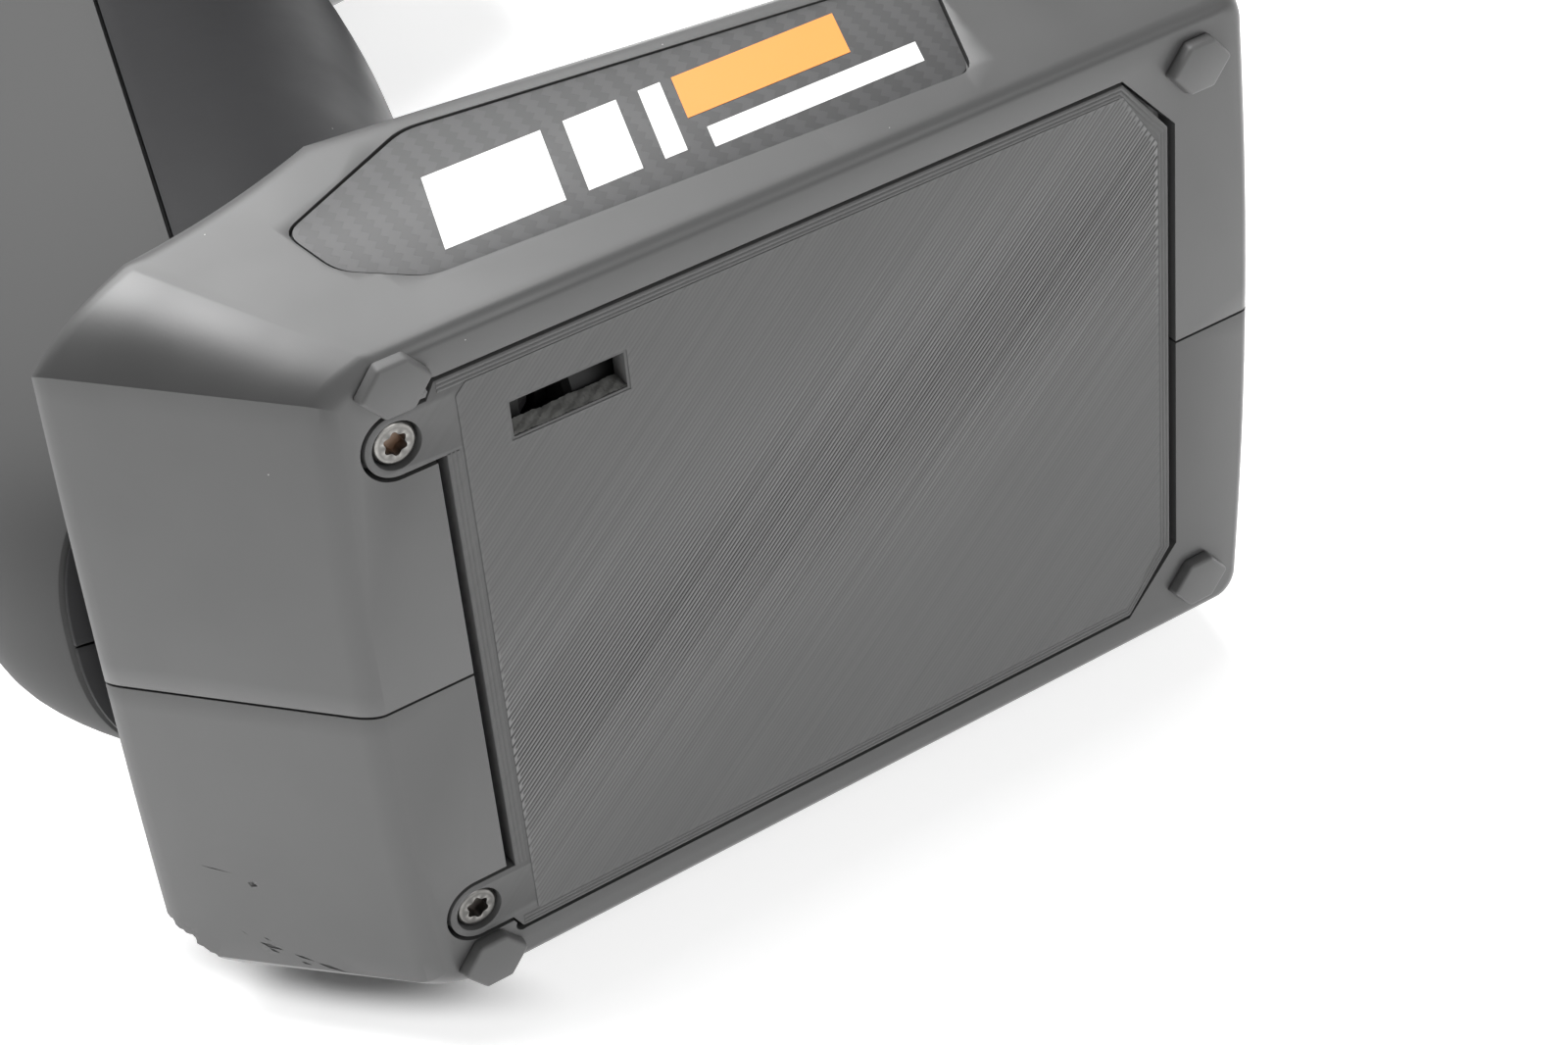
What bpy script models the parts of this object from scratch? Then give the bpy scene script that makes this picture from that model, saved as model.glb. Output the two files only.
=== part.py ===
"""Pistol-grip radio transmitter, standing on its four rubber feet.

Model space: X to the operator's right from the casing's parting plane, Y forward from the line
through the two battery cover screws, Z up from the underside. Metres throughout.
"""
import math

import bmesh
import bpy
import numpy as np
from mathutils import Matrix, Vector

# Clearances
FIT = 0.0003
PARTING_GAP = 0.0003
RUNNING_GAP = 0.0001

# Base casing
BASE_HALF_WIDTH = 0.0385
BASE_REAR_Y = -0.0071
BASE_FRONT_Y = 0.1005
BASE_EDGE_ROUND = 0.0016
BASE_REAR_BOW = 0.0010
BASE_FRONT_BOW = 0.0012
BASE_REAR_CORNER = (0.0026, 0.0032)
CORNER_FULLNESS = 1.4
BASE_FRONT_CORNER = (0.0030, 0.0026)
SIDE_FLARE = 0.22
RIM_REAR_Y = -0.0257
RIM_REAR_Z = 0.0220
RIM_PEAK_Y = 0.0078
RIM_PEAK_Z = 0.0284
RIM_FRONT_Z = 0.0197
RIM_FRONT_REACH = 0.0045
RIM_REAR_BOW = 0.0004
RIM_REAR_CORNER = (0.0062, 0.0137)
RIM_FRONT_CORNER = (0.0040, 0.0040)
RIM_ROUND = 0.0018
DECK_CROWN = 0.0012
SHOULDER_INSET = 0.0085
SHOULDER_RISE = 0.0045
CASING_WALL = 0.0024
FLOOR_THICK = 0.0042

# Battery cover
COVER_HALF_WIDTH = 0.0340
COVER_REAR_Y = 0.0047
COVER_FRONT_Y = 0.0892
COVER_THICK = 0.0024
COVER_SIDE_GAP = 0.00045
COVER_END_GAP = 0.0010
COVER_CORNER_X = 0.0070
COVER_CORNER_Y = 0.0057
COVER_LEDGE = 0.0026
EAR_X = 0.0290
EAR_RADIUS = 0.0033
EAR_NOTCH = 0.0010
SLOT_X = 0.02645
SLOT_Y = 0.0179
SLOT_WIDTH = 0.0039
SLOT_LENGTH = 0.0124

# Cover screws
SCREW_HEAD_RADIUS = 0.00225
SCREW_HEAD_HEIGHT = 0.0015
SCREW_HEAD_SINK = 0.0003
SCREW_SHANK_RADIUS = 0.00125
SCREW_LENGTH = 0.0085
BOSS_RADIUS = 0.0038
BOSS_HEIGHT = 0.0070

# Feet
FOOT_HALF_WIDTH = 0.0030
FOOT_HALF_LENGTH = 0.0040
FOOT_FLAT = 0.0015
FOOT_HEIGHT = 0.0014
FOOT_DRAFT = 0.0003
FOOT_REAR_X = 0.0357
FOOT_REAR_Y = 0.0004
FOOT_FRONT_X = 0.0331
FOOT_FRONT_Y = 0.0928
FOOT_SEAT_GAP = 0.0001

# Label plate on the right flank: corners as distances along the flank and up its slope
LABEL_CORNERS = ((0.0006, 0.0188), (0.0168, 0.0257), (0.0738, 0.0198),
                 (0.0684, 0.0047), (0.0092, 0.0071), (0.0023, 0.0120))
LABEL_THICK = 0.0006
LABEL_DEPTH = 0.0009

# Battery tray and cells
CELL_RADIUS = 0.00715
CELL_LENGTH = 0.0492
CELL_NUB_RADIUS = 0.0027
CELL_NUB_HEIGHT = 0.0013
CELL_COUNT = 4
CELL_SPACING = 0.0004
TRAY_WALL = 0.0012
TRAY_Y = 0.0140
TRAY_FLANGE = 0.0020
TRAY_FLANGE_THICK = 0.0014
CONTACT_THICK = 0.0006
CONTACT_SPRING_HEIGHT = 0.0030

# Head, and the rows that round its ends off: distance in from the end, rise of the underside,
# drop of the top and loss of half width
HEAD_REAR_Y = -0.0310
HEAD_LENGTH = 0.1490
HEAD_BOTTOM_Z = 0.1610
HEAD_HEIGHT = 0.0820
HEAD_HALF_WIDTH = 0.0300
HEAD_REAR_ROWS = (
    (0.0000, 0.0275, 0.0345, 0.0110),
    (0.0018, 0.0205, 0.0285, 0.0065),
    (0.0052, 0.0138, 0.0240, 0.0034),
    (0.0110, 0.0087, 0.0205, 0.0013),
    (0.0250, 0.0030, 0.0140, 0.0002),
    (0.0510, 0.0000, 0.0030, 0.0000),
    (0.0630, 0.0000, 0.0000, 0.0000),
)
HEAD_FRONT_ROWS = (
    (0.0580, 0.0025, 0.0000, 0.0000),
    (0.0260, 0.0095, 0.0055, 0.0005),
    (0.0090, 0.0155, 0.0115, 0.0022),
    (0.0030, 0.0205, 0.0160, 0.0055),
    (0.0000, 0.0265, 0.0220, 0.0095),
)
HEAD_SQUARENESS = 4.5
HEAD_POINTS = 40
HEAD_WALL = 0.0026

# Handle: height, rear reach, front reach and half width about its leaning axis
HANDLE_ENTRY = 0.0075
HANDLE_SECTIONS = (
    (0.0215, 0.0100, 0.0310, 0.0195),
    (0.0270, 0.0110, 0.0315, 0.0198),
    (0.0286, 0.0185, 0.0318, 0.0203),
    (0.0310, 0.0210, 0.0320, 0.0206),
    (0.0380, 0.0263, 0.0328, 0.0214),
    (0.0460, 0.0288, 0.0332, 0.0222),
    (0.0570, 0.0300, 0.0336, 0.0230),
    (0.0680, 0.0299, 0.0336, 0.0234),
    (0.0820, 0.0290, 0.0334, 0.0234),
    (0.1000, 0.0275, 0.0332, 0.0230),
    (0.1200, 0.0291, 0.0309, 0.0229),
    (0.1400, 0.0326, 0.0238, 0.0228),
    (HEAD_BOTTOM_Z + HANDLE_ENTRY, 0.0412, 0.0170, 0.0232),
)
HANDLE_AXIS_Y = -0.0151
HANDLE_LEAN = 0.30
HANDLE_ROUNDNESS = 2.5
HANDLE_POINTS = 40

# Rubber grip wrapped round the rear of the handle
GRIP_THICK = 0.0022
GRIP_BOTTOM_Z = 0.0292
GRIP_TOP_Z = 0.1330
GRIP_SEAM_Y = -0.0137
GRIP_SEAM_LEAN = 0.298

# Display in the sloping rear deck of the head
DISPLAY_Y = -0.0010
DISPLAY_WIDTH = 0.0440
DISPLAY_LENGTH = 0.0270
DISPLAY_RECESS = 0.0042
DISPLAY_SINK = 0.0012
WINDOW_THICK = 0.0012
PANEL_THICK = 0.0012
DISPLAY_LEDGE = 0.0020

# Steering wheel
WHEEL_SETBACK = 0.0380
WHEEL_RISE = 0.0435
WHEEL_Y = HEAD_REAR_Y + HEAD_LENGTH - WHEEL_SETBACK
WHEEL_Z = HEAD_BOTTOM_Z + WHEEL_RISE
WHEEL_GAP = 0.0040
TYRE_RADIUS = 0.0340
TYRE_CROWN = 0.0012
TYRE_WIDTH = 0.0300
RIM_RADIUS = 0.0265
RIM_THICK = 0.0022
WEB_THICK = 0.0040
WEB_OFFSET = 0.0060
HUB_RADIUS = 0.0075
SPOKE_COUNT = 5
SPOKE_WIDTH = 0.0060
SPOKE_ROOT = 0.0030
SPOKE_TIP = 0.0015
HUB_FLARE = 0.0015
SHAFT_RADIUS = 0.0030
NUT_FLATS = 0.0100
NUT_HEIGHT = 0.0050
SHAFT_END = 0.0020
FLANGE_RADIUS = 0.0270
FLANGE_THICK = 0.0040
SLEEVE_RADIUS = 0.0090
SLEEVE_LENGTH = 0.0220
BEARING_RADIUS = 0.0060
BEARING_WIDTH = 0.0040
SPRING_WIRE = 0.0012
SPRING_PITCH = 0.0020
SPRING_TURNS = 5
SENSOR_SIZE = 0.0150
SENSOR_THICK = 0.0060
SENSOR_GAP = 0.0015

# Trigger
TRIGGER_SETBACK = 0.0420
TRIGGER_RISE = 0.0170
TRIGGER_Y = HEAD_REAR_Y + HEAD_LENGTH - TRIGGER_SETBACK
TRIGGER_Z = HEAD_BOTTOM_Z + TRIGGER_RISE
TRIGGER_WIDTH = 0.0120
TRIGGER_HUB_RADIUS = 0.0060
TRIGGER_ARM_WIDTH = 0.0100
RING_FORWARD = 0.0050
RING_DROP = 0.0330
RING_HALF_LENGTH = 0.0165
RING_HALF_HEIGHT = 0.0175
RING_WALL = 0.0050
TRIGGER_PIN_RADIUS = 0.0020
TRIGGER_SIDE_GAP = 0.0008
TRIGGER_SWING_GAP = 0.0090
CHEEK_THICK = 0.0040
TRIGGER_SENSOR_HALF = 0.0045
TRIGGER_WIRE = 0.0009
TRIGGER_PITCH = 0.0016

# Keys and knobs on the head's top
KEY_RADIUS = 0.0046
KEY_PROUD = 0.0014
KEY_COLLAR = 0.0014
KEY_ROW_Y = 0.0330
KEY_PITCH = 0.0135
DIAL_Y = 0.0560
DIAL_RADIUS = 0.0085
DIAL_HEIGHT = 0.0060
DIAL_RIDGES = 20
DIAL_RIDGE_DEPTH = 0.0007
KNOB_X = 0.0165
KNOB_Y = 0.0640
KNOB_RADIUS = 0.0060
KNOB_HEIGHT = 0.0085
KNOB_FLUTES = 8
STEM_RADIUS = 0.0030
STEERING_TRIM_SETBACK = 0.0420
STEERING_TRIM_Y = HEAD_REAR_Y + HEAD_LENGTH - STEERING_TRIM_SETBACK
THROTTLE_TRIM_X = 0.0165
THROTTLE_TRIM_Y = 0.0580
ROCKER_LENGTH = 0.0150
ROCKER_WIDTH = 0.0056
ROCKER_PROUD = 0.0018
ROCKER_DEPTH = 0.0060
ROCKER_CLEARANCE = 0.0009
LENS_RADIUS = 0.0014
LENS_Y = 0.0440

# Key on the left of the handle
GRIP_KEY_Y = 0.0310
GRIP_KEY_Z = 0.1455
GRIP_KEY_RADIUS = 0.0050

# Circuit boards
BOARD_THICK = 0.0016
BOARD_HALF_WIDTH = 0.0235
BOARD_REAR_Y = -0.0120
BOARD_SETBACK = 0.0560
BOARD_FRONT_Y = HEAD_REAR_Y + HEAD_LENGTH - BOARD_SETBACK
BOARD_RISE = 0.0475
BOARD_Z = HEAD_BOTTOM_Z + BOARD_RISE
KEY_BOARD_DROP = 0.0095
KEY_BOARD_REAR_Y = 0.0240
KEY_BOARD_SETBACK = 0.0280
KEY_BOARD_FRONT_Y = HEAD_REAR_Y + HEAD_LENGTH - KEY_BOARD_SETBACK
SHELF_WIDTH = 0.0040
SHELF_THICK = 0.0020
ANTENNA_HEIGHT = 0.0140
BUZZER_RADIUS = 0.0060
BUZZER_HEIGHT = 0.0050

# Facets
FINE = 40
MEDIUM = 24
COARSE = 20
FAR = 0.2000

# Finishes: colour, roughness and metallic value
CASING_BLACK = ((0.045, 0.046, 0.048), 0.55, 0.0)
PRINTED_BLACK = ((0.040, 0.041, 0.043), 0.45, 0.0)
RUBBER_BLACK = ((0.030, 0.030, 0.031), 0.85, 0.0)
FOAM_BLACK = ((0.022, 0.022, 0.023), 0.95, 0.0)
LABEL_CARBON = ((0.030, 0.031, 0.033), 0.40, 0.0)
KEY_GREY = ((0.070, 0.071, 0.074), 0.50, 0.0)
SCREW_STEEL = ((0.300, 0.290, 0.280), 0.35, 1.0)
BRIGHT_STEEL = ((0.560, 0.560, 0.570), 0.30, 1.0)
BOARD_GREEN = ((0.020, 0.110, 0.050), 0.50, 0.0)
SENSOR_BLUE = ((0.020, 0.060, 0.200), 0.45, 0.0)
WINDOW_TINT = ((0.030, 0.035, 0.040), 0.08, 0.0)
PANEL_GREY = ((0.320, 0.370, 0.330), 0.35, 0.0)
CELL_JACKET = ((0.100, 0.200, 0.320), 0.35, 0.0)
LENS_RED = ((0.450, 0.030, 0.020), 0.15, 0.0)


def clear_scene():
    """Empty the file of objects."""
    for item in list(bpy.data.objects):
        bpy.data.objects.remove(item, do_unlink=True)


def new_collection(name):
    """Add a collection under the scene."""
    collection = bpy.data.collections.new(name)
    bpy.context.scene.collection.children.link(collection)
    return collection


def finish_material(name, finish):
    """Make a Principled material from a colour, roughness and metallic value."""
    colour, roughness, metallic = finish
    material = bpy.data.materials.new(name)
    material.use_nodes = True
    shader = material.node_tree.nodes["Principled BSDF"]
    shader.inputs["Base Color"].default_value = (*colour, 1.0)
    shader.inputs["Roughness"].default_value = roughness
    shader.inputs["Metallic"].default_value = metallic
    material.diffuse_color = (*colour, 1.0)
    return material


def add_part(name, mesh, finish, parent, matrix=None):
    """Place a mesh as a named piece of the transmitter."""
    item = bpy.data.objects.new(name, mesh)
    PARTS.objects.link(item)
    item.parent = parent
    item.matrix_local = matrix or Matrix()
    mesh.shade_smooth()
    mesh.set_sharp_from_angle(angle=math.radians(35))
    mesh.materials.clear()
    mesh.materials.append(finish_material(f"{name}_finish", finish))
    return item


def add_cutter(name, mesh, matrix=None):
    """Place a mesh as a shape that only cuts, joins or bounds others."""
    item = bpy.data.objects.new(name, mesh)
    CUTTERS.objects.link(item)
    item.matrix_local = matrix or Matrix()
    item.parent = ROOT
    item.hide_render = True
    item.display_type = "WIRE"
    return item


def combine(item, other, operation):
    """Cut, join or bound a piece by another shape."""
    modifier = item.modifiers.new(other.name, "BOOLEAN")
    modifier.operation = operation
    modifier.solver = "EXACT"
    modifier.object = other


def soften(item, width, segments=2, angle=40):
    """Round the sharp edges of a piece."""
    modifier = item.modifiers.new("rounding", "BEVEL")
    modifier.width = width
    modifier.segments = segments
    modifier.limit_method = "ANGLE"
    modifier.angle_limit = math.radians(angle)


def mesh_from_bmesh(name, bm):
    """Turn a bmesh into a mesh with its faces outward."""
    bmesh.ops.recalc_face_normals(bm, faces=bm.faces[:])
    mesh = bpy.data.meshes.new(name)
    bm.to_mesh(mesh)
    bm.free()
    return mesh


def box_mesh(name, low, high):
    """A box between two corners."""
    low, high = Vector(low), Vector(high)
    bm = bmesh.new()
    bmesh.ops.create_cube(bm, size=1.0)
    bmesh.ops.scale(bm, vec=high - low, verts=bm.verts)
    bmesh.ops.translate(bm, vec=(low + high) / 2, verts=bm.verts)
    return mesh_from_bmesh(name, bm)


def cylinder_mesh(name, radius, start, end, segments, end_radius=None):
    """A cylinder or cone between two points."""
    start, end = Vector(start), Vector(end)
    axis = end - start
    bm = bmesh.new()
    bmesh.ops.create_cone(bm, cap_ends=True, segments=segments, radius1=radius,
                          radius2=radius if end_radius is None else end_radius, depth=axis.length)
    turn = axis.to_track_quat("Z", "Y").to_matrix().to_4x4()
    bmesh.ops.transform(bm, matrix=Matrix.Translation((start + end) / 2) @ turn, verts=bm.verts)
    return mesh_from_bmesh(name, bm)


def loft_mesh(name, loops):
    """A closed skin carried through loops of equal point counts."""
    bm = bmesh.new()
    rings = [[bm.verts.new(point) for point in loop] for loop in loops]
    count = len(rings[0])
    for low, high in zip(rings, rings[1:]):
        for i in range(count):
            j = (i + 1) % count
            bm.faces.new((low[i], low[j], high[j], high[i]))
    bm.faces.new(rings[0])
    bm.faces.new(rings[-1])
    return mesh_from_bmesh(name, bm)


def plate_mesh(name, outlines, thickness, matrix=None):
    """A flat plate from closed outlines; an outline inside another is a hole."""
    curve = bpy.data.curves.new(name, "CURVE")
    curve.dimensions = "2D"
    curve.fill_mode = "BOTH"
    curve.extrude = thickness / 2
    for outline in outlines:
        spline = curve.splines.new("POLY")
        spline.points.add(len(outline) - 1)
        for point, (u, v) in zip(spline.points, outline):
            point.co = (u, v, 0.0, 1.0)
        spline.use_cyclic_u = True
    holder = bpy.data.objects.new(name, curve)
    CUTTERS.objects.link(holder)
    graph = bpy.context.evaluated_depsgraph_get()
    mesh = bpy.data.meshes.new_from_object(holder.evaluated_get(graph))
    bpy.data.objects.remove(holder)
    bm = bmesh.new()
    bm.from_mesh(mesh)
    bmesh.ops.remove_doubles(bm, verts=bm.verts, dist=1e-6)
    if matrix is not None:
        bmesh.ops.transform(bm, matrix=matrix, verts=bm.verts)
    bpy.data.meshes.remove(mesh)
    return mesh_from_bmesh(name, bm)


def turned_part(name, profile, finish, parent, matrix, steps, closed=False):
    """A turned piece: a profile of radius and height carried round its own Z axis."""
    mesh = bpy.data.meshes.new(name)
    edges = [(i, i + 1) for i in range(len(profile) - 1)]
    if closed:
        edges.append((len(profile) - 1, 0))
    mesh.from_pydata([(radius, 0.0, height) for radius, height in profile], edges, [])
    item = add_part(name, mesh, finish, parent, matrix)
    screw = item.modifiers.new("turning", "SCREW")
    screw.axis = "Z"
    screw.steps = steps
    screw.render_steps = steps
    screw.use_merge_vertices = True
    screw.merge_threshold = 0.00001
    screw.use_smooth_shade = True
    return item


def arc(centre, radius_u, radius_v, start, end, count):
    """Points on an elliptic arc, from one angle to another in degrees."""
    angles = np.radians(np.linspace(start, end, count))
    return [(centre[0] + radius_u * math.cos(a), centre[1] + radius_v * math.sin(a)) for a in angles]


def facet_arc(centre, radius_u, radius_v, count):
    """Points on a flattened quarter arc that turns most at its two ends, from its rear to its side."""
    angles = np.linspace(math.pi / 2, 0.0, count)
    power = 2.0 / CORNER_FULLNESS
    return [(centre[0] + radius_u * abs(math.cos(a)) ** power,
             centre[1] - radius_v * abs(math.sin(a)) ** power) for a in angles]


def ring_points(radius, count, centre=(0.0, 0.0)):
    """Points round a circle."""
    return arc(centre, radius, radius, 0.0, 360.0 - 360.0 / count, count)


def mirrored(half):
    """Close a right-hand half outline with its mirror image; its ends lie on the parting plane."""
    half = np.array(half)
    other = half[::-1][1:-1].copy()
    other[:, 0] *= -1
    return np.vstack([half, other])


def along_x(y, z):
    """A frame at a point whose own Z runs along +X."""
    return Matrix.Translation((0.0, y, z)) @ Matrix.Rotation(math.radians(90), 4, "Y")


def side_frame():
    """A frame whose own X and Y run along +Y and +Z, so that a plate's thickness runs along X."""
    return Matrix(((0, 0, 1, 0), (1, 0, 0, 0), (0, 1, 0, 0), (0, 0, 0, 1)))


def least_coil_gap(points, wire, turn_points):
    """The least space between a coil's own turns."""
    points = np.array(points)
    least = FAR
    for i in range(len(points) - turn_points // 2):
        apart = np.linalg.norm(points[i + turn_points // 2:] - points[i], axis=1)
        least = min(least, float(apart.min()))
    return least - wire


def coil_part(name, radius, wire, pitch, turns, start, finish, parent):
    """A coil spring wound round an axis along X, one unbroken wire with squared-off ends."""
    turn_points = 12
    angles = np.linspace(0.0, 2 * math.pi * turns, turn_points * turns + 1)
    points = [(start[0] + pitch * a / (2 * math.pi), start[1] + radius * math.cos(a),
               start[2] + radius * math.sin(a)) for a in angles]
    curve = bpy.data.curves.new(name, "CURVE")
    curve.dimensions = "3D"
    curve.bevel_depth = wire / 2
    curve.bevel_resolution = 1
    curve.use_fill_caps = True
    spline = curve.splines.new("POLY")
    spline.points.add(len(points) - 1)
    for point, place in zip(spline.points, points):
        point.co = (*place, 1.0)
    curve.materials.append(finish_material(f"{name}_finish", finish))
    item = bpy.data.objects.new(name, curve)
    PARTS.objects.link(item)
    item.parent = parent
    print(f"{name}: least gap between turns {least_coil_gap(points, wire, turn_points) * 1000:.2f} mm")
    return item


# Base casing outlines

def rim_height(y):
    """Height of the rim: it climbs from the rear to a peak and falls straight to the front."""
    rise = np.clip((y - RIM_REAR_Y) / (RIM_PEAK_Y - RIM_REAR_Y), 0.0, 1.0) ** 2
    fall = np.clip((y - RIM_PEAK_Y) / (BASE_FRONT_Y - RIM_PEAK_Y), 0.0, 1.0)
    return RIM_REAR_Z + (RIM_PEAK_Z - RIM_REAR_Z) * rise - (RIM_PEAK_Z - RIM_FRONT_Z) * fall


def half_outline(rear, front, rear_bow, front_bow, corner, front_corner, side):
    """Right half of a casing outline: bowed rear, rounded corner, flank, rounded corner, bowed front."""
    corner_u, corner_v = corner
    front_u, front_v = front_corner
    rear_edge = side - corner_u
    front_edge = side - front_u
    points = [(x, rear + rear_bow * (x / rear_edge) ** 2) for x in np.linspace(0.0, rear_edge, 4)[:-1]]
    start = rear + rear_bow + corner_v
    points += facet_arc((rear_edge, start), corner_u, corner_v, 7)
    end = front - front_bow - front_v
    points += [(side, y) for y in np.linspace(start, RIM_PEAK_Y, 4)[1:]]
    points += [(side, y) for y in np.linspace(RIM_PEAK_Y, end, 4)[1:-1]]
    points += arc((front_edge, end), front_u, front_v, 0.0, 90.0, 4)
    points += [(x, front - front_bow * (x / front_edge) ** 2)
               for x in np.linspace(front_edge, 0.0, 4)[1:]]
    return points


def bottom_outline():
    """Outline of the underside."""
    return mirrored(half_outline(BASE_REAR_Y, BASE_FRONT_Y, BASE_REAR_BOW, BASE_FRONT_BOW,
                                 BASE_REAR_CORNER, BASE_FRONT_CORNER, BASE_HALF_WIDTH))


def rim_outline():
    """Outline of the rim with its heights; the flanks lean out with height."""
    flat = mirrored(half_outline(RIM_REAR_Y, BASE_FRONT_Y + RIM_FRONT_REACH, RIM_REAR_BOW, BASE_FRONT_BOW,
                                 RIM_REAR_CORNER, RIM_FRONT_CORNER, BASE_HALF_WIDTH))
    height = rim_height(flat[:, 1])
    reach = 1.0 + SIDE_FLARE * height / BASE_HALF_WIDTH
    return np.column_stack([flat[:, 0] * reach, flat[:, 1], height])


def inset(loop, amount):
    """Draw a loop in towards its middle by an amount at its sides and ends."""
    loop = loop.copy()
    middle = (loop[:, 1].max() + loop[:, 1].min()) / 2
    loop[:, 0] *= 1.0 - amount / loop[:, 0].max()
    loop[:, 1] = middle + (loop[:, 1] - middle) * (1.0 - amount / (loop[:, 1].max() - middle))
    return loop


def base_loop(share, inward=0.0, height=None, lift=0.0):
    """A loop of the base skin, from the underside's outline (share 0) to the rim (share 1)."""
    bottom = np.column_stack([bottom_outline(), np.zeros(len(bottom_outline()))])
    loop = bottom + (rim_outline() - bottom) * share
    loop = inset(loop, inward)
    loop[:, 2] += lift
    if height is not None:
        loop[:, 2] = height
    return loop


def spine(loop, width, lift):
    """Draw a deck loop in towards the parting plane."""
    loop = loop.copy()
    loop[:, 0] *= width
    loop[:, 2] += lift
    return loop


def base_skin_mesh():
    """The outside of the base: rounded underside edge, flared walls, rim, shoulder and deck."""
    edge = BASE_EDGE_ROUND
    round_share = edge / RIM_REAR_Z
    deck = base_loop(1.0, SHOULDER_INSET, lift=SHOULDER_RISE)
    loops = [base_loop(0.0, edge * 0.75, height=0.0),
             base_loop(round_share * 0.3, edge * 0.22),
             base_loop(round_share),
             base_loop(0.97),
             base_loop(1.0, RIM_ROUND * 0.2, lift=RIM_ROUND * 0.3),
             base_loop(1.0, RIM_ROUND, lift=RIM_ROUND * 0.7),
             deck,
             spine(deck, 0.5, DECK_CROWN * 0.7),
             spine(deck, 0.04, DECK_CROWN)]
    return loft_mesh("base_skin", loops)


def base_hollow_mesh():
    """The inside of the base, one wall in from its skin."""
    wall = CASING_WALL
    deck = base_loop(1.0, SHOULDER_INSET + wall, lift=SHOULDER_RISE - wall)
    loops = [base_loop(FLOOR_THICK / RIM_REAR_Z, wall, height=FLOOR_THICK),
             base_loop(0.93, wall),
             deck,
             spine(deck, 0.5, DECK_CROWN * 0.5),
             spine(deck, 0.04, DECK_CROWN * 0.7)]
    return loft_mesh("base_hollow", loops)


def cover_outline(side_gap=0.0, end_gap=0.0):
    """Outline of the battery cover: chamfered front corners and two rounded screw ears at the rear."""
    half = COVER_HALF_WIDTH + side_gap
    rear = COVER_REAR_Y - end_gap
    front = COVER_FRONT_Y + end_gap
    ear = EAR_RADIUS + side_gap
    shoulder = COVER_REAR_Y + 0.25 * EAR_RADIUS
    right = [(EAR_X - ear, rear)]
    right += arc((EAR_X, 0.0), ear, ear, 180.0, 360.0, 13)
    right += [(EAR_X + ear, shoulder), (half, shoulder + EAR_NOTCH),
              (half, COVER_FRONT_Y - COVER_CORNER_Y), (COVER_HALF_WIDTH - COVER_CORNER_X, front)]
    return right + [(-x, y) for x, y in reversed(right)]


def bay_outline():
    """Outline of the opening that the cover closes, a ledge in from the cover's edge."""
    half = COVER_HALF_WIDTH - COVER_LEDGE
    front = COVER_FRONT_Y - COVER_LEDGE
    right = [(half, COVER_REAR_Y + COVER_LEDGE), (half, front - COVER_CORNER_Y),
             (half - COVER_CORNER_X, front)]
    return right + [(-x, y) for x, y in reversed(right)]


def flank_frame(sink):
    """A frame on the right flank: X forward, Y up the slope, Z out of the flank."""
    slope = math.atan(SIDE_FLARE)
    out = Vector((math.cos(slope), 0.0, -math.sin(slope)))
    up = Vector((math.sin(slope), 0.0, math.cos(slope)))
    forward = Vector((0.0, 1.0, 0.0))
    origin = Vector((BASE_HALF_WIDTH, 0.0, 0.0)) + out * sink
    return Matrix(((forward.x, up.x, out.x, origin.x), (forward.y, up.y, out.y, origin.y),
                   (forward.z, up.z, out.z, origin.z), (0, 0, 0, 1)))


def grown(corners, amount):
    """Grow a convex outline about its middle by an amount at each corner."""
    corners = np.array(corners)
    middle = corners.mean(axis=0)
    out = corners - middle
    return [tuple(p) for p in middle + out * (1.0 + amount / np.linalg.norm(out, axis=1, keepdims=True))]


def other_half(side):
    """The space on the far side of the parting plane, seen from one half of a casing."""
    near, far = sorted((PARTING_GAP / 2 * side, -FAR * side))
    return box_mesh("other_half", (near, -FAR, -FAR), (far, FAR, 2 * FAR))


# Handle and head skins

def handle_axis(z):
    """Distance forward of the handle's leaning axis at a height."""
    return HANDLE_AXIS_Y + HANDLE_LEAN * z


def handle_skin_mesh(name, growth, bottom=None, top=None):
    """The handle's skin grown or shrunk all round, optionally between two heights."""
    table = np.array(HANDLE_SECTIONS)
    heights = table[:, 0]
    if bottom is not None:
        heights = np.concatenate([[bottom], heights[(heights > bottom) & (heights < top)], [top]])
    angles = (np.arange(HANDLE_POINTS) + 0.5) * 2 * math.pi / HANDLE_POINTS
    power = 2.0 / HANDLE_ROUNDNESS
    across = np.sign(np.cos(angles)) * np.abs(np.cos(angles)) ** power
    along = np.sign(np.sin(angles)) * np.abs(np.sin(angles)) ** power
    loops = []
    for z in heights:
        rear, front, half = (np.interp(z, table[:, 0], table[:, k]) + growth for k in (1, 2, 3))
        y = np.where(along > 0, along * front, along * rear) + handle_axis(z)
        loops.append(np.column_stack([across * half, y, np.full(HANDLE_POINTS, z)]))
    return loft_mesh(name, loops)


def grip_block_mesh(name, growth):
    """The space behind the grip's seam, between its lower and upper edges."""
    low, high = GRIP_BOTTOM_Z - growth, GRIP_TOP_Z + growth
    seam = [(GRIP_SEAM_Y + GRIP_SEAM_LEAN * z + growth, z) for z in (low, high)]
    return plate_mesh(name, [[(-FAR, low), *seam, (-FAR, high)]], 2 * FAR, side_frame())


def head_sections():
    """The head's sections from rear to front: distance forward, underside, top and half width."""
    rows = [(HEAD_REAR_Y + inward, rise, drop, loss) for inward, rise, drop, loss in HEAD_REAR_ROWS]
    front = HEAD_REAR_Y + HEAD_LENGTH
    rows += [(front - inward, rise, drop, loss) for inward, rise, drop, loss in HEAD_FRONT_ROWS]
    return [(y, HEAD_BOTTOM_Z + rise, HEAD_BOTTOM_Z + HEAD_HEIGHT - drop, HEAD_HALF_WIDTH - loss)
            for y, rise, drop, loss in rows]


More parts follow.
